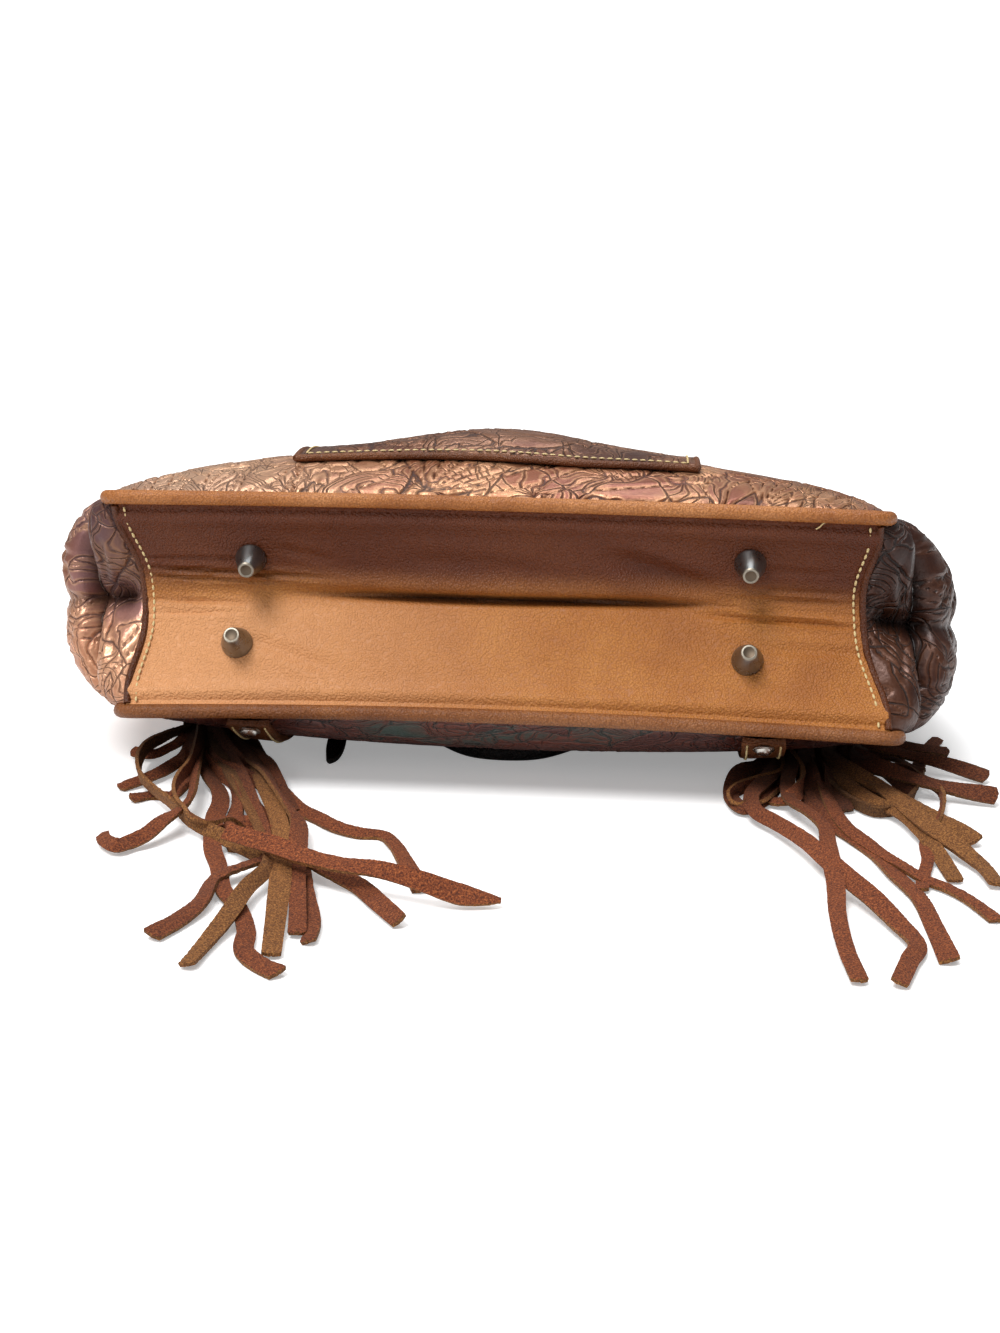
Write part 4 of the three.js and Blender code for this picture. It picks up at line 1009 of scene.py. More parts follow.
def gusset_piece(side, end, part, low, high, columns, rows):
    bulge = BULGE[side]

    def place(across, along):
        run = mix(low, high, along)
        rows_at = np.unique(np.round(run, 6))
        starts = np.array([inset_share(lambda s: gusset_point(end, bulge, row, s)) for row in rows_at])
        start = np.interp(run, rows_at, starts)
        return lay(gusset_point(end, bulge, run, mix(start, 1 - start, across)))

    obj, across, along = laid_grid(f"gusset_{side}_{part}_hide", columns, rows, place)
    face_outwards(obj, (end, 0, 0))
    run = mix(low, high, along)
    reach = smooth(run, 4, 14) * (1 - 0.72 * smooth(run, 24, 44)) * (1 - smooth(run, 70, 170))
    middle = np.exp(-((across - 0.5) / 0.035) ** 2) * 5.0 + np.exp(-((across - 0.5) / 0.11) ** 2) * 5.0
    tuck = 7.0 * np.exp(-(((run - GUSSET_SEAM) / 3.6) ** 2))
    lobe = np.sin(np.pi * np.clip(np.abs(across - 0.5) * 2, 0, 1)) ** 0.8
    inner = 6.5 * np.sin(np.pi * np.clip(run / GUSSET_SEAM, 0, 1)) ** 0.8
    outer = 2.6 * smooth(run, GUSSET_SEAM, GUSSET_SEAM + 14) * (1 - 0.7 * smooth(run, 60, 130))
    puff = lobe * np.where(run < GUSSET_SEAM, inner, outer)
    flat_u, flat_v = (across - 0.5) * 96, run
    rays = creases(flat_u, flat_v, [
        (2, 22, 30, 10, 1.4, 1.8), (-2, 22, -28, 8, 1.4, 1.8), (3, 34, 26, 52, 1.4, 2.2),
        (-3, 34, -30, 56, 1.4, 2.2), (4, 46, 22, 84, 1.2, 2.6), (-4, 46, -18, 90, 1.2, 2.6),
        (14, 30, 18, 58, 0.9, 1.4), (-20, 30, -16, 52, 0.9, 1.4), (30, 28, 30, 44, 0.8, 1.4)])
    field = scroll_work(np.stack([flat_u, flat_v], 1), 100, 260, first_row=12, shift=7 * end)
    note(obj, "edge", field["edge"])
    note(obj, "flat_u", flat_u + 300 * end)
    note(obj, "flat_v", flat_v)
    # painted shade: the upper cheek across the crease is darkened, less above the seam
    upper = smooth(across, 0.42, 0.56)
    note(obj, "painted_shade_and_tone", upper * (1 - 0.6 * smooth(run, GUSSET_SEAM, GUSSET_SEAM + 8)))
    # painted light: the lower cheek of the left gusset is lightened, fading higher up
    note(obj, "painted_light", 0.3 * (1 - upper) * (1 - smooth(run, 60, 120)) * (side == "left"))
    # painted shade: the tuck at the seam and the middle of the crease are darkened
    in_tuck = np.exp(-(((run - GUSSET_SEAM) / 1.7) ** 2))
    in_crease = np.exp(-(((across - 0.5) / 0.022) ** 2)) * reach
    note(obj, "painted_crease_shade", 0.95 * np.maximum(in_tuck, in_crease))
    push(obj, WALL / 2 + relief(field["edge"], 0.6) + puff + rays - tuck - middle * reach)
    wall(obj, lining=True)
    return done(obj, "tooled_leather", f"gusset_{side}_{part}", materials=(CHEEK_LEATHER[side], lining))


for side, end in (("left", -1), ("right", 1)):
    gusset_piece(side, end, "lower", -GUSSET_LAP, GUSSET_SEAM, 84, 34)
    gusset_piece(side, end, "upper", GUSSET_SEAM + SEAM_GAP + FACET_CLEAR, SEAM_RUN, 84, 130)

# %% [markdown]
# Piping is a cord wrapped in a strip of hide. A round bevel on a curve gives it, with its ends
# capped, and the curve is made a mesh so that its place is its own. The handles, rolled round a
# cord in the same way, are made by the same function.

# %% Piping and handles
def tube(name, path, radius, sides=8):
    curve = bpy.data.curves.new(name, "CURVE")
    curve.dimensions = "3D"
    spline = curve.splines.new("POLY")
    spline.points.add(len(path) - 1)
    metres = (np.asarray(path) + SHIFT) / 1000
    spline.points.foreach_set("co", np.concatenate([metres, np.ones((len(path), 1))], 1).ravel())
    curve.bevel_depth = radius / 1000
    curve.bevel_resolution = sides // 2
    curve.use_fill_caps = True
    obj = bpy.data.objects.new(name, curve)
    bpy.context.scene.collection.objects.link(obj)
    only(obj)
    bpy.ops.object.convert(target="MESH")
    return bpy.context.object


def spaced(path, step):
    """The same path with points at even steps."""
    path = np.asarray(path, float)
    lengths = np.concatenate([[0], np.cumsum(np.linalg.norm(np.diff(path, axis=0), axis=1))])
    count = max(2, int(lengths[-1] / step) + 1)
    at = np.linspace(0, lengths[-1], count)
    return np.stack([np.interp(at, lengths, path[:, i]) for i in range(3)], 1)


def seam_path(name):
    run = np.linspace(-(HALF_WIDTH - CORNER_RADIUS), SEAM_RUN, 1200)
    half_path = lay(seam_point(name, run, 1))
    other = lay(seam_point(name, run, -1))
    path = np.concatenate([other[::-1], half_path[1:]])
    if name == "front":
        path[:, 2] = np.maximum(path[:, 2], REST_CLEAR)
    return path


for name in ("back", "front"):
    piping = tube(f"piping_{name}_hide", spaced(seam_path(name), 1.8), PIPING_RADIUS, 10)
    # the front piping is made darker than the back one by the same multiply
    note(piping, "painted_shade_and_tone", np.full(len(piping.data.vertices), 0.0 if name == "back" else 0.55))
    done(piping, "piping_leather", f"piping_{name}", materials=(piping_leather,))

# %% Points over a panel
STRAP_LIFT = (WALL + STRAP_WALL) / 2 + SEAM_GAP + FACET_CLEAR


def over_panel(name, u, v, lift):
    """A point over the outside of a panel, and the direction away from it."""
    settle = name == "front"

    def at(du, dv):
        turn = np.arcsin(np.clip((u + du) / seam_half_width(v + dv), -1, 1))
        return lay(panel_point(name, turn, v + dv), settle)

    across = at(1, 0) - at(-1, 0)
    along = at(0, 1) - at(0, -1)
    outward = np.cross(across, along) * SIGN[name]
    outward /= np.linalg.norm(outward, axis=-1, keepdims=True)
    return at(0, 0) + outward * np.asarray(lift)[..., None], outward


# %% Handles
FRONT_HANDLE = [(1.00, 1.00, 1), (1.01, 1.09, 0.6), (0.97, 1.19, 0), (0.80, 1.235, 0),
                (0.66, 1.16, 0), (0.62, 1.02, 0), (0.59, 0.84, 0), (0.54, 0.68, 0),
                (0.46, 0.53, 0), (0.36, 0.40, 0), (0.25, 0.30, 0), (0.11, 0.235, 0)]
BACK_HANDLE = [(1.00, 0.86, 1), (1.00, 0.94, 1), (1.01, 1.03, 0.97), (1.03, 1.12, 0.78),
               (1.05, 1.20, 0.42), (1.06, 1.28, 0.1), (1.04, 1.38, 0), (0.96, 1.52, 0),
               (0.78, 1.68, 0), (0.50, 1.80, 0), (0.24, 1.85, 0)]
HANDLE_LIFT = WALL / 2 + HANDLE_RADIUS + SEAM_GAP + FACET_CLEAR


def rounded(points, each=12):
    """A centripetal curve through points, so that it never loops at a tight turn."""
    points = np.asarray(points, float)
    ends = np.concatenate([[2 * points[0] - points[1]], points, [2 * points[-1] - points[-2]]])
    path = []
    for a, b, c, d in zip(ends[:-3], ends[1:-2], ends[2:-1], ends[3:]):
        knots = np.cumsum([0] + [max(np.linalg.norm(q - p), 1e-4) ** 0.5 for p, q in ((a, b), (b, c), (c, d))])
        for t in np.linspace(knots[1], knots[2], each, endpoint=False):
            ab = mix(a, b, (t - knots[0]) / (knots[1] - knots[0]))
            bc = mix(b, c, (t - knots[1]) / (knots[2] - knots[1]))
            cd = mix(c, d, (t - knots[2]) / (knots[3] - knots[2]))
            abc = mix(ab, bc, (t - knots[0]) / (knots[2] - knots[0]))
            bcd = mix(bc, cd, (t - knots[1]) / (knots[3] - knots[1]))
            path.append(mix(abc, bcd, (t - knots[1]) / (knots[2] - knots[1])))
    return np.array(path + [points[-1]])


def handle_point(name, row, end):
    across, along, hang = row
    u = end * across * STRAP_SPACING / 2
    v = along * (STRAP_REACH + SEAM_GAP if name == "front" else BAG_HEIGHT)
    held, _ = over_panel(name, np.array(u), np.array(min(v, BAG_HEIGHT), float), HANDLE_LIFT)
    held = held + np.array([0, max(0, v - BAG_HEIGHT) * math.cos(REST_ANGLE), 0])
    free = lay(np.array([u, v, 0.0]))
    free[2] = HANDLE_RADIUS
    return mix(held, free, 1 - hang)


for name, rows in (("front", FRONT_HANDLE), ("back", BACK_HANDLE)):
    stops = [handle_point(name, row, -1) for row in rows]
    stops += [handle_point(name, row, 1) for row in reversed(rows)]
    path = rounded(stops)
    path[:, 2] = np.maximum(path[:, 2], HANDLE_RADIUS)
    handle = tube(f"handle_{name}_hide", spaced(path, 2.5), HANDLE_RADIUS, 12)
    done(handle, "handle_leather", f"handle_{name}", materials=(handle_leather,))

# %% [markdown]
# The feet are turned cones with a flat tip. A profile of a few points is spun round, its ends are
# merged at the axis, and a bevel softens the rim. One foot is made, and each of the four is a
# copy turned onto its slope of the base.

# %% Feet and rivets
def turned_part(name, profile, sides):
    """Spins a profile of (radius, height) points round the upright axis, in millimetres."""
    bpy.ops.object.select_all(action="DESELECT")
    bpy.ops.mesh.primitive_plane_add(size=0.001)
    obj = bpy.context.object
    obj.name = obj.data.name = name
    bpy.ops.object.mode_set(mode="EDIT")
    bpy.ops.mesh.delete(type="VERT")
    bpy.ops.object.mode_set(mode="OBJECT")
    obj.data.vertices.add(len(profile))
    obj.data.edges.add(len(profile) - 1)
    for i, (radius, height) in enumerate(profile):
        obj.data.vertices[i].co = (radius / 1000, 0, height / 1000)
        if i:
            obj.data.edges[i - 1].vertices = (i - 1, i)
    obj.data.update()
    only(obj)
    bpy.ops.object.mode_set(mode="EDIT")
    bpy.ops.mesh.select_all(action="SELECT")
    bpy.ops.mesh.spin(steps=sides, angle=2 * math.pi, center=(0, 0, 0), axis=(0, 0, 1))
    bpy.ops.mesh.select_all(action="SELECT")
    bpy.ops.mesh.remove_doubles(threshold=0.00002)
    bpy.ops.mesh.normals_make_consistent(inside=False)
    bpy.ops.object.mode_set(mode="OBJECT")
    return obj


def placed_copy(source, name, point, outward, lift):
    obj = source.copy()
    obj.data = source.data.copy()
    obj.name = obj.data.name = name
    bpy.context.scene.collection.objects.link(obj)
    outward = Vector(outward).normalized()
    turn = Vector((0, 0, 1)).rotation_difference(outward).to_matrix().to_4x4()
    centre = Vector((np.asarray(point) + SHIFT) / 1000) + outward * lift / 1000
    obj.data.transform(Matrix.Translation(centre) @ turn)
    obj.data.update()
    return obj


FOOT_PROFILE = [(0, 0), (6.35, 0), (6.5, 0.3), (6.5, 1.0), (6.35, 1.35), (3.55, 11.1), (3.45, 11.25),
                (3.3, 11.75), (3.1, 11.95), (2.5, 12.0), (2.3, 11.85), (0, 11.85)]
foot = turned_part("foot", FOOT_PROFILE, 48)
foot.data.materials.append(gunmetal)
foot.data.materials.append(gunmetal_tip)
foot.data.materials.append(gunmetal_face)
for face in foot.data.polygons:
    radius = math.hypot(face.center.x, face.center.y)
    if face.center.z > 0.0112:
        face.material_index = 1 if radius > 0.0023 else 2

FOOT_SPACING = 205
FEET = [(-0.99, 0.45), (1.01, 0.54), (-1.07, -0.38), (0.98, -0.39)]
for i, (across, place) in enumerate(FEET):
    u = across * FOOT_SPACING / 2

    def at(du, dp):
        return lay(base_point(np.array(u + du), np.array(place + dp)))

    outward = np.cross(at(1, 0) - at(-1, 0), at(0, 0.02) - at(0, -0.02))
    outward /= np.linalg.norm(outward)
    made = placed_copy(foot, f"foot_{i + 1}_cone", at(0, 0), outward, WALL / 2 + SEAM_GAP)
    done(made, "gunmetal", f"foot_{i + 1}")
bpy.data.objects.remove(foot)

RIVET_PROFILE = [(0, 0), (4.3, 0), (4.5, 0.25), (4.5, 0.7), (4.2, 0.95), (3.5, 1.0), (3.3, 1.3),
                 (2.9, 2.0), (2.1, 2.45), (1.1, 2.6), (0, 2.6)]
rivet = turned_part("rivet", RIVET_PROFILE, 32)
rivet.data.materials.append(nickel)

# %% [markdown]
# A strap runs up the front from the piping, held by a rivet, with a row of cream stitches along
# each edge. The stitches are what makes it read as sewn leather, so each one is its own small
# lozenge of thread. One stitch is modelled, and a row of them is joined to one piece.

# %% Stitches
def rounded_stitch():
    bpy.ops.object.select_all(action="DESELECT")
    bpy.ops.mesh.primitive_uv_sphere_add(segments=8, ring_count=6, radius=0.001)
    obj = bpy.context.object
    obj.name = obj.data.name = "stitch"
    obj.data.materials.append(cream_thread)
    return obj


stitch = rounded_stitch()


def stitch_row(path, outwards, pitch=3.0, length=2.3, width=0.95, lift=0.25):
    """One stitch for each pitch along a path, lying on the surface under it."""
    path = np.asarray(path, float)
    lengths = np.concatenate([[0], np.cumsum(np.linalg.norm(np.diff(path, axis=0), axis=1))])
    count = int(lengths[-1] / pitch)
    made = []
    for i in range(count):
        middle = (i + 0.5) * lengths[-1] / count
        point, ahead, outward = (np.array([np.interp(at, lengths, rows[:, k]) for k in range(3)])
                                 for at, rows in ((middle, path), (middle + 0.8, path), (middle, outwards)))
        x = Vector(ahead - point).normalized() if middle + 0.8 < lengths[-1] else made[-1][1]
        z = Vector(outward).normalized()
        y = z.cross(x).normalized()
        made.append((Vector((point + SHIFT) / 1000) + z * lift / 1000, x, y, z))
    copies = []
    for centre, x, y, z in made:
        obj = stitch.copy()
        obj.data = stitch.data.copy()
        shape = Matrix.Diagonal((length / 2, width / 2, width * 0.42, 1))
        axes = Matrix([list(x), list(y), list(z)]).transposed().to_4x4()
        obj.data.transform(Matrix.Translation(centre) @ axes @ shape)
        bpy.context.scene.collection.objects.link(obj)
        copies.append(obj)
    return copies


def join_row(name, copies, slot="base_leather"):
    bpy.ops.object.select_all(action="DESELECT")
    for obj in copies:
        obj.select_set(True)
    bpy.context.view_layer.objects.active = copies[0]
    bpy.ops.object.join()
    obj = bpy.context.object
    obj.name = obj.data.name = name
    return done(obj, slot)


def normals_along(rows_of_points):
    """Directions away from a surface, from three neighbouring lines of points on it."""
    first, middle, last = rows_of_points
    ahead = np.gradient(middle, axis=0)
    outward = np.cross(ahead, last - first)
    return outward / np.linalg.norm(outward, axis=1, keepdims=True)


def base_line(u_at, places):
    lines = [lay(base_point(np.full_like(places, 1.0) * (u_at + du), places)) for du in (-1, 0, 1)]
    outward = normals_along(lines)
    outward *= np.where(outward[:, 1:2] > 0, -1, 1)
    return lines[1] + outward * (WALL / 2), outward


places = np.linspace(-0.93, 0.93, 90)
for side, end in (("left", -1), ("right", 1)):
    path, outward = base_line(end * (BASE_REACH - 4.2), places)
    join_row(f"base_stitches_{side}", stitch_row(path, outward, 3.0, 2.5, 1.1, 0.35))

# %% Turned hem at the ends of the base
for side, end in (("left", -1), ("right", 1)):
    path, outward = base_line(end * (BASE_REACH - 0.2), places)
    hem = tube(f"base_hem_{side}", spaced(path - outward * 0.5, 1.5), 1.5, 8)
    # the hem is made darker all over by the same multiply
    note(hem, "painted_shade_and_tone", np.full(len(hem.data.vertices), 1.0))
    done(hem, "base_leather", materials=(piping_leather,))

# %% Straps with rivets and stitches
def strap_place(middle):
    def place(across, along):
        v = mix(2 * PIPING_RADIUS + 1, STRAP_REACH, along)
        point, _ = over_panel("front", middle + (across - 0.5) * STRAP_WIDTH, v,
                              STRAP_LIFT + STRAP_WALL / 2)
        return point
    return place


for side, end in (("left", -1), ("right", 1)):
    middle = end * STRAP_SPACING / 2
    strap, across, along = laid_grid(f"strap_{side}_hide", 12, 120, strap_place(middle))
    face_outwards(strap, (0, 0, -1))
    edge_in = np.minimum(across, 1 - across) * STRAP_WIDTH
    push(strap, -0.5 * (1 - smooth(edge_in, 0, 1.2)) - 0.35 * np.exp(-(((edge_in - 2.2) / 0.8) ** 2)))
    wall(strap, STRAP_WALL)
    done(strap, "strap_leather", f"strap_{side}", materials=(strap_leather,))
    v = np.linspace(2 * PIPING_RADIUS + 2, STRAP_REACH - 2, 140)
    rows = []
    for offset in (-1, 1):
        u = np.full_like(v, middle + offset * (STRAP_WIDTH / 2 - 2.2))
        point, outward = over_panel("front", u, v, STRAP_LIFT + STRAP_WALL / 2)
        rows += stitch_row(point, outward, 3.2, 2.5, 1.0)
    join_row(f"strap_stitches_{side}", rows, "strap_leather")
    point, outward = over_panel("front", np.array(float(middle)), np.array(11.0), 0.0)
    made = placed_copy(rivet, f"rivet_{side}_dome", point, outward, STRAP_LIFT + STRAP_WALL / 2 + SEAM_GAP)
    done(made, "gunmetal", f"rivet_{side}")
bpy.data.objects.remove(rivet)

# %% [markdown]
# The back pocket is a slack patch: sewn down at its sides and foot, standing a little off the back
# along its open edge, which shows as a dark rolled line with stitches behind it. A grid is laid
# over the back, lifted by its slack, carved, and walled, and a thin tube gives the rolled edge.

# %% Pocket
POCKET_WIDTH, POCKET_LOW, POCKET_HEIGHT, POCKET_SLACK, POCKET_CLEAR = 168, 31, 163, 9, 0.7
POCKET_DIP = 4
POCKET_FULL_FROM, POCKET_FULL_RUN = 0.12, 0.62


def on_pocket(across, along, lift=0.0):
    side = across * 2 - 1
    wide = mix(np.cos(math.pi * side / 2) ** 3, 1 - side**4, smooth(along, 0.2, 0.8))
    slack = POCKET_SLACK * wide * np.sin(math.pi * (POCKET_FULL_FROM + POCKET_FULL_RUN * along))
    slack = slack * smooth(along, 0, 0.1)
    dip = POCKET_DIP * np.exp(-(((side - 0.45) / 0.35) ** 2)) * (1 - along)
    u, v = side * POCKET_WIDTH / 2, POCKET_LOW + along * POCKET_HEIGHT - dip
    return over_panel("back", u, v, WALL + POCKET_CLEAR + WALL / 2 + slack + lift)


pocket, across, along = laid_grid("pocket_hide", 124, 92, lambda a, b: on_pocket(a, b)[0])
face_outwards(pocket, (0, 0, 1))
pocket_u, pocket_v = (across * 2 - 1) * POCKET_WIDTH / 2, along * POCKET_HEIGHT
pocket_field = scroll_work(np.stack([pocket_u, pocket_v], 1), 180, 130, first_row=16, shift=17)
note(pocket, "edge", pocket_field["edge"])
note(pocket, "flat_u", pocket_u + 700)
note(pocket, "flat_v", pocket_v)
# the pocket is made darker all over by the same multiply
note(pocket, "painted_shade_and_tone", np.full(len(pocket_u), 0.9))
push(pocket, 0.8 * relief(pocket_field["edge"]))
wall(pocket)
done(pocket, "tooled_leather", "back_pocket", materials=(tooled_leather,))

line = np.linspace(0, 1, 120)
ring = [(line, 0 * line), (0 * line + 1, line), (line[::-1], 0 * line + 1), (0 * line, line[::-1])]
rolled = np.concatenate([on_pocket(a, b, -0.6)[0][:-1] for a, b in ring])
rolled = np.concatenate([rolled, rolled[:1]])
edge_roll = tube("pocket_rolled_edge", spaced(rolled, 2.0), 1.5, 8)
done(edge_roll, "tooled_leather", materials=(strap_leather,))
inner = 4.0
a, b = inner / POCKET_WIDTH, inner / POCKET_HEIGHT
rows = []
for pa, pb in ((mix(a, 1 - a, line), 0 * line + b), (0 * line + a, mix(b, 1 - b, line)),
               (0 * line + 1 - a, mix(b, 1 - b, line))):
    point, outward = on_pocket(pa, pb, 0.2)
    rows += stitch_row(point, outward, 3.4, 2.6, 1.0)
join_row("pocket_stitches", rows, "tooled_leather")

# %% [markdown]
# The pull tab is a leaf of the handles' hide, dark leather darkened further to near black as
# painted shade. A small grid is narrowed to a leaf, curved down to the floor and walled.

# %% Pull tab
TAB_LENGTH, TAB_WIDTH, TAB_ACROSS, TAB_ALONG = 30, 8, -79, 76
tab_root, _ = over_panel("front", np.array(float(TAB_ACROSS)), np.array(float(TAB_ALONG)),
                         WALL + SEAM_GAP + FACET_CLEAR)


def on_tab(across, along):
    half = TAB_WIDTH / 2 * (0.25 + 0.75 * np.sin(np.pi * np.minimum(1, along * 0.8 + 0.18)))
    half = half * np.sqrt(np.clip(1 - ((along - 0.86) / 0.14).clip(0, 1) ** 2, 0.02, 1))
    z = mix(tab_root[2], WALL / 2, smooth(along, 0, 0.8)) + WALL / 2
    return np.stack([tab_root[0] + (across * 2 - 1) * half, tab_root[1] - along * TAB_LENGTH, z], -1)


tab, across, along = laid_grid("pull_tab_leaf", 8, 24, on_tab)
face_outwards(tab, (0, 0, 1))
wall(tab)
done(tab, "handle_leather", "pull_tab", materials=(handle_leather,))

# %% [markdown]
# Each tassel is a bundle of suede strips, cut from one piece and folded over the strap's end. The
# strips were read off the photograph as short lists of points, and each point is dropped along
# its line of sight to a height over the floor that stacks the strips in a few layers where they
# cross, so that the fringe keeps its true layout from every side. A strip may twist, which shows
# its tan back.

# %% Fringe
STRIP_WALL = 1.5
# Each row: the pixels of the strip, its width in mm, its tone, its twist and its kind. The low tones of the short
# strips near the strap are painted shade under the purse.
LEFT_FRINGE = [
    ([(232, 736), (248, 752), (262, 768), (276, 786), (290, 802), (302, 812), (320, 820), (337, 828),
      (359, 834), (383, 837), (394, 845), (405, 862), (422, 892)], 5.6, 1.0, 0.1, "rust"),
    ([(226, 832), (246, 838), (274, 846), (300, 856), (337, 865), (378, 870), (419, 881),
      (460, 895), (501, 902)], 6.4, 1.15, 0.0, "top"),
    ([(222, 738), (244, 752), (262, 772), (276, 800), (286, 826), (300, 850), (318, 866), (340, 877),
      (359, 887), (378, 903), (400, 922)], 5.6, 0.98, 0.15, "rust"),
    ([(214, 736), (236, 748), (254, 762), (266, 790), (276, 812), (281, 830), (281, 858), (280, 882),
      (277, 906), (271, 956)], 6.4, 1.08, 0.0, "tan"),
    ([(222, 738), (246, 756), (264, 772), (276, 790), (289, 808), (298, 822), (298, 842), (297, 870),
      (298, 906), (297, 935)], 5.8, 0.95, 0.2, "rust"),
    ([(226, 738), (250, 760), (268, 786), (284, 812), (296, 836), (303, 862), (308, 892), (314, 925),
      (308, 943)], 4.6, 0.86, 0.3, "rust"),
    ([(200, 734), (200, 750), (208, 776), (219, 792), (220, 806), (215, 818), (213, 836), (213, 852),
      (218, 866), (224, 892), (238, 908), (246, 933), (244, 952), (260, 966), (279, 974)], 5.8, 1.0, 0.1, "rust"),
    ([(218, 738), (236, 768), (252, 806), (264, 836), (266, 858), (246, 866), (226, 873), (214, 881),
      (200, 903), (181, 919), (150, 936)], 5.6, 0.86, 0.1, "rust"),
    ([(214, 738), (228, 768), (246, 800), (262, 836), (268, 866), (246, 889), (227, 917), (208, 941),
      (186, 966)], 5.0, 0.98, 0.2, "tan"),
    ([(196, 734), (196, 768), (190, 798), (178, 811), (163, 821), (146, 835), (129, 843), (117, 846),
      (105, 841), (103, 835)], 5.0, 0.95, 0.15, "rust"),
    ([(192, 734), (188, 766), (180, 790), (170, 797), (150, 797), (130, 799)], 4.8, 0.95, 0.1, "rust"),
    ([(190, 733), (186, 752), (172, 766), (151, 777), (119, 789)], 4.8, 0.95, 0.0, "rust"),
    ([(188, 730), (180, 742), (168, 749), (153, 755), (132, 752)], 3.8, 0.9, 0.1, "rust"),
    ([(190, 726), (167, 736), (148, 746), (139, 760), (140, 775), (148, 785), (160, 795), (174, 806),
      (191, 821), (204, 828), (228, 840), (248, 850), (266, 858)], 5.0, 0.95, 0.5, "tan"),
    ([(202, 728), (198, 748), (191, 765), (179, 778), (174, 790), (177, 802), (187, 812), (197, 821),
      (214, 823), (232, 820), (249, 824), (266, 832), (282, 840)], 5.0, 1.0, 0.45, "rust"),
    ([(206, 729), (200, 744), (204, 760), (218, 773), (232, 783), (237, 799), (235, 816), (232, 834),
      (236, 852)], 6.0, 0.9, 0.25, "rust"),
    ([(214, 740), (230, 766), (244, 785), (249, 799), (257, 812), (266, 828), (272, 848)], 5.2, 0.8, 0.1, "rust"),
    ([(206, 744), (221, 766), (240, 773), (256, 782), (272, 800)], 4.6, 0.55, 0.15, "rust"),
    ([(226, 732), (240, 744), (256, 756), (268, 768), (280, 790), (290, 812)], 6.4, 0.62, 0.1, "rust"),
    ([(212, 730), (222, 744), (234, 758), (246, 774)], 6.6, 0.4, 0.1, "rust"),
    ([(236, 730), (248, 742), (258, 754), (268, 770)], 6.6, 0.38, 0.1, "rust"),
]
RIGHT_FRINGE = [
    ([(777, 748), (782, 763), (779, 776), (757, 783), (736, 791), (730, 799), (736, 806), (758, 805),
      (775, 791), (784, 776)], 5.6, 1.1, 0.45, "rust"),
    ([(772, 752), (760, 766), (742, 772), (732, 786), (732, 800), (744, 808), (762, 800), (776, 786)], 6.0, 0.7, 0.0, "rust"),
    ([(792, 748), (797, 761), (802, 774), (800, 789), (790, 798), (777, 802), (766, 800)], 5.2, 1.0, 0.45, "rust"),
    ([(786, 754), (768, 778), (752, 796), (756, 812), (777, 824), (806, 842), (828, 861), (851, 881),
      (873, 899), (897, 923), (917, 946), (909, 962), (899, 984)], 5.8, 1.05, 0.1, "rust"),
    ([(796, 754), (788, 780), (790, 800), (809, 813), (824, 827), (828, 846), (832, 865), (836, 885),
      (838, 915), (846, 950), (860, 982)], 5.4, 1.05, 0.0, "rust"),
    ([(806, 754), (804, 782), (812, 806), (828, 821), (855, 838), (877, 855), (896, 876), (919, 899),
      (934, 928), (950, 962)], 6.2, 1.05, 0.0, "rust"),
    ([(812, 754), (824, 790), (846, 828), (879, 853), (904, 868), (924, 880), (947, 889), (968, 900),
      (998, 922)], 4.8, 1.05, 0.1, "rust"),
    ([(822, 756), (846, 784), (874, 802), (900, 814), (919, 831), (934, 848), (947, 868), (956, 882)], 4.8, 0.98, 0.1, "tan"),
    ([(830, 756), (866, 780), (911, 804), (938, 819), (960, 831), (977, 842)], 5.6, 0.98, 0.0, "tan"),
    ([(840, 760), (876, 784), (906, 808), (936, 831), (960, 849), (983, 868), (998, 886)], 6.0, 1.0, 0.0, "tan"),
    ([(832, 752), (831, 766), (830, 780), (840, 793), (855, 804), (877, 812), (896, 810), (911, 799),
      (917, 785), (919, 766), (928, 750), (938, 740)], 5.0, 0.6, 0.4, "rust"),
    ([(850, 760), (885, 768), (904, 770), (922, 780), (938, 789), (943, 800), (939, 816), (930, 831),
      (926, 846), (928, 861), (924, 876), (922, 891)], 4.4, 1.0, 0.35, "rust"),
    ([(850, 738), (885, 742), (913, 748), (949, 753)], 5.0, 0.5, 0.1, "rust"),
    ([(840, 742), (875, 746), (904, 755), (941, 763), (988, 778)], 5.4, 0.6, 0.0, "rust"),
    ([(860, 760), (892, 772), (922, 782), (951, 789), (998, 797)], 6.4, 0.65, 0.0, "rust"),
    ([(812, 750), (818, 772), (824, 796), (836, 814)], 6.6, 0.48, 0.1, "rust"),
    ([(822, 750), (832, 776), (840, 800), (846, 812)], 6.6, 0.42, 0.1, "rust"),
    ([(804, 750), (810, 776), (816, 800), (828, 812)], 6.4, 0.52, 0.1, "rust"),
    ([(836, 752), (856, 774), (876, 790), (900, 800)], 6.2, 0.48, 0.1, "rust"),
    ([(842, 750), (868, 760), (892, 776), (912, 794)], 6.0, 0.45, 0.1, "rust"),
    ([(846, 746), (872, 752), (900, 762), (920, 774)], 5.6, 0.45, 0.1, "rust"),
]
FRINGE_FALL, ROOT_HEIGHT, STACK, LAYERS, STRIP_TILT = 0.25, 4.5, 1.3, 5, 0.6
TUCKED_PIXELS = 12


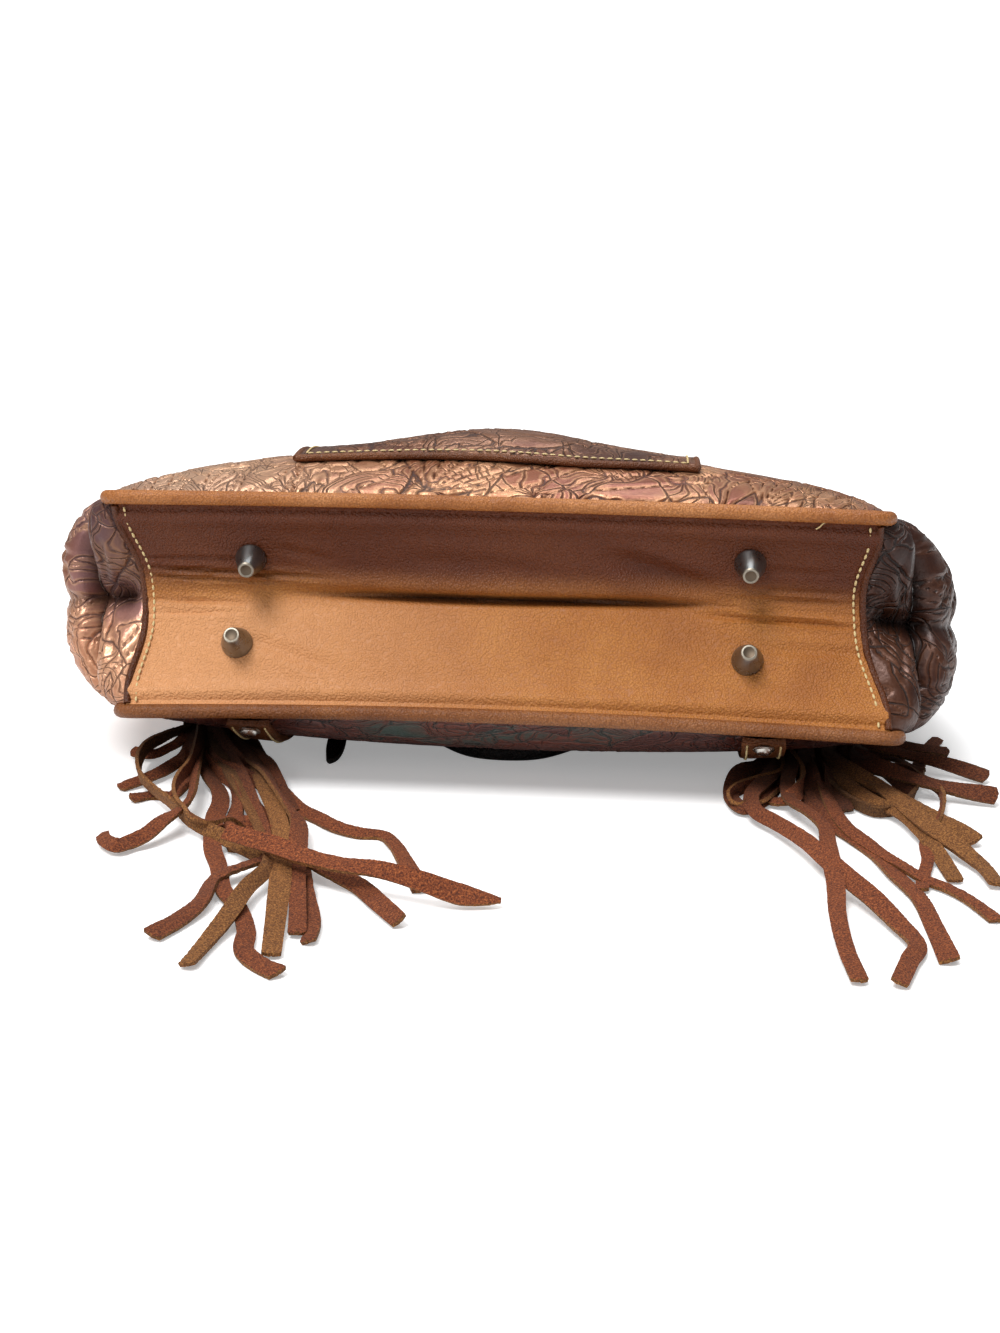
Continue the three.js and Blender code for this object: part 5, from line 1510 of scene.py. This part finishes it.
def strip_path(pixels, order, on_top=False, lift=0.0):
    """Strips leave the bundle under the purse, cross in layers and end on the floor.

    A strip that runs sideways leans towards the front on its edge, which lifts its middle."""
    reads = np.array(pixels, float)
    if not on_top:
        reads = np.concatenate([[reads[0] - (0, TUCKED_PIXELS)], reads])
    spans = np.concatenate([[0], np.cumsum(np.hypot(*np.diff(reads, axis=0).T))])
    share = spans / spans[-1]
    crossing = 0.9 + STACK * (LAYERS + 2 if on_top else order % LAYERS)
    root = crossing if on_top else ROOT_HEIGHT + STACK * (order % 3)
    heights = mix(root, crossing, smooth(share, 0, FRINGE_FALL))
    heights = mix(heights, 0.9 + 0.25 * (order % LAYERS), smooth(share, 0.55, 0.95))
    heights = heights + np.interp(share, np.linspace(0, 1, np.size(lift)), np.atleast_1d(lift))
    return rounded([under_pixel(x, y, h) for (x, y), h in zip(reads, heights)], each=8)


def strip(name, row, order):
    pixels, width, tone, twist, kind = row
    on_top = kind == "top"
    lift = 0.0
    for _ in range(2):
        path = spaced(strip_path(pixels, order, on_top, lift), 1.0)
        path[:, 2] = np.maximum(path[:, 2], STRIP_WALL / 2 + 0.1)
        ahead = np.gradient(path, axis=0)
        ahead /= np.linalg.norm(ahead, axis=1, keepdims=True)
        flat = np.cross(ahead, [0, 0, 1.0])
        flat /= np.linalg.norm(flat, axis=1, keepdims=True)
        share = np.linspace(0, 1, len(path))
        lean = twist * np.pi * np.sin(np.pi * np.clip(share * 1.1, 0, 1)) + 0.25 * np.sin(share * 9 + order)
        lean = lean * (1.2 if order % 2 else -1.2) - STRIP_TILT * flat[:, 1]
        half = width * 0.57 * (1 - 0.10 * np.sin(share * 11 + order))
        lift = half * np.abs(np.sin(lean)) * 0.9
    sideways = flat * np.cos(lean)[:, None] + np.cross(ahead, flat) * np.sin(lean)[:, None]
    half = half * np.sqrt(np.clip((1 - share) * len(path) / (14 if on_top else 0.9), 0.05, 1))

    def place(across, along):
        at = np.round(along * (len(path) - 1)).astype(int)
        point = path[at] + sideways[at] * ((across * 2 - 1) * half[at])[:, None]
        curl = 0.35 * (1 - (across * 2 - 1) ** 2)
        point[:, 2] += curl
        low = STRIP_WALL / 2 + 0.05
        point[:, 2] = np.maximum(point[:, 2], low)
        return point

    obj, across, along = laid_grid(name, 4, len(path) - 1, place)
    face_outwards(obj, (0, 0, 1))
    jitter = [noise.noise(Vector(p) * 900) for p in (read_points(obj) / 1000)]
    push(obj, 0.35 * np.array(jitter))
    # painted shade: strips that are not on top darken towards their roots, under the purse
    shaded = 1.0 if on_top else 0.22 + 0.78 * smooth(along, 0.08, 0.5)
    note(obj, "tone", np.full(len(across), tone) * shaded)
    obj.data.materials.append(tan_suede if kind == "tan" else rust_suede)
    obj.data.materials.append(tan_suede)
    finish_modifier(obj, "SOLIDIFY", thickness=STRIP_WALL / 1000, offset=0.0, use_rim=True,
                    material_offset=1, material_offset_rim=1)
    points = read_points(obj)
    points[:, 2] = np.maximum(points[:, 2], 0.05)
    write_points(obj, points)
    return obj


def joined(name, pieces):
    bpy.ops.object.select_all(action="DESELECT")
    for obj in pieces:
        obj.select_set(True)
    bpy.context.view_layer.objects.active = pieces[0]
    bpy.ops.object.join()
    obj = bpy.context.object
    obj.name = obj.data.name = name
    return obj


for side, rows in (("left", LEFT_FRINGE), ("right", RIGHT_FRINGE)):
    strips = [strip(f"strip_{side}_{i}", row, i) for i, row in enumerate(rows)]
    done(joined(f"fringe_{side}", strips), "suede", f"tassel_{side}")

# %% [markdown]
# Last come the signs of use: two loose ends of thread.

# %% Loose threads
THREADS = [[(815, 530), (819, 528), (822, 525), (828, 522), (833, 520), (838, 517)],
           [(818, 519), (822, 521), (826, 522), (830, 521), (834, 519)]]
near_u, near_place = np.meshgrid(np.linspace(40, 156, 400), np.linspace(0.55, 0.99, 160))
near_base = lay(base_point(near_u.ravel(), near_place.ravel()))
ahead = (near_base - eye) @ forward
near_x = CENTRE_PIXEL[0] + FOCAL_PIXELS * ((near_base - eye) @ right) / ahead
near_y = CENTRE_PIXEL[1] - FOCAL_PIXELS * ((near_base - eye) @ up) / ahead
for i, pixels in enumerate(THREADS):
    found = [near_base[np.hypot(near_x - x, near_y - y).argmin()] - forward * 1.9 for x, y in pixels]
    thread = tube(f"loose_thread_{i + 1}", rounded(found, each=6), 0.28, 4)
    done(thread, "base_leather", materials=(cream_thread,))

# %% Sizes and end
bpy.data.objects.remove(stitch)
print(sum(count for _, count in built), "triangles in", len(built), "pieces")
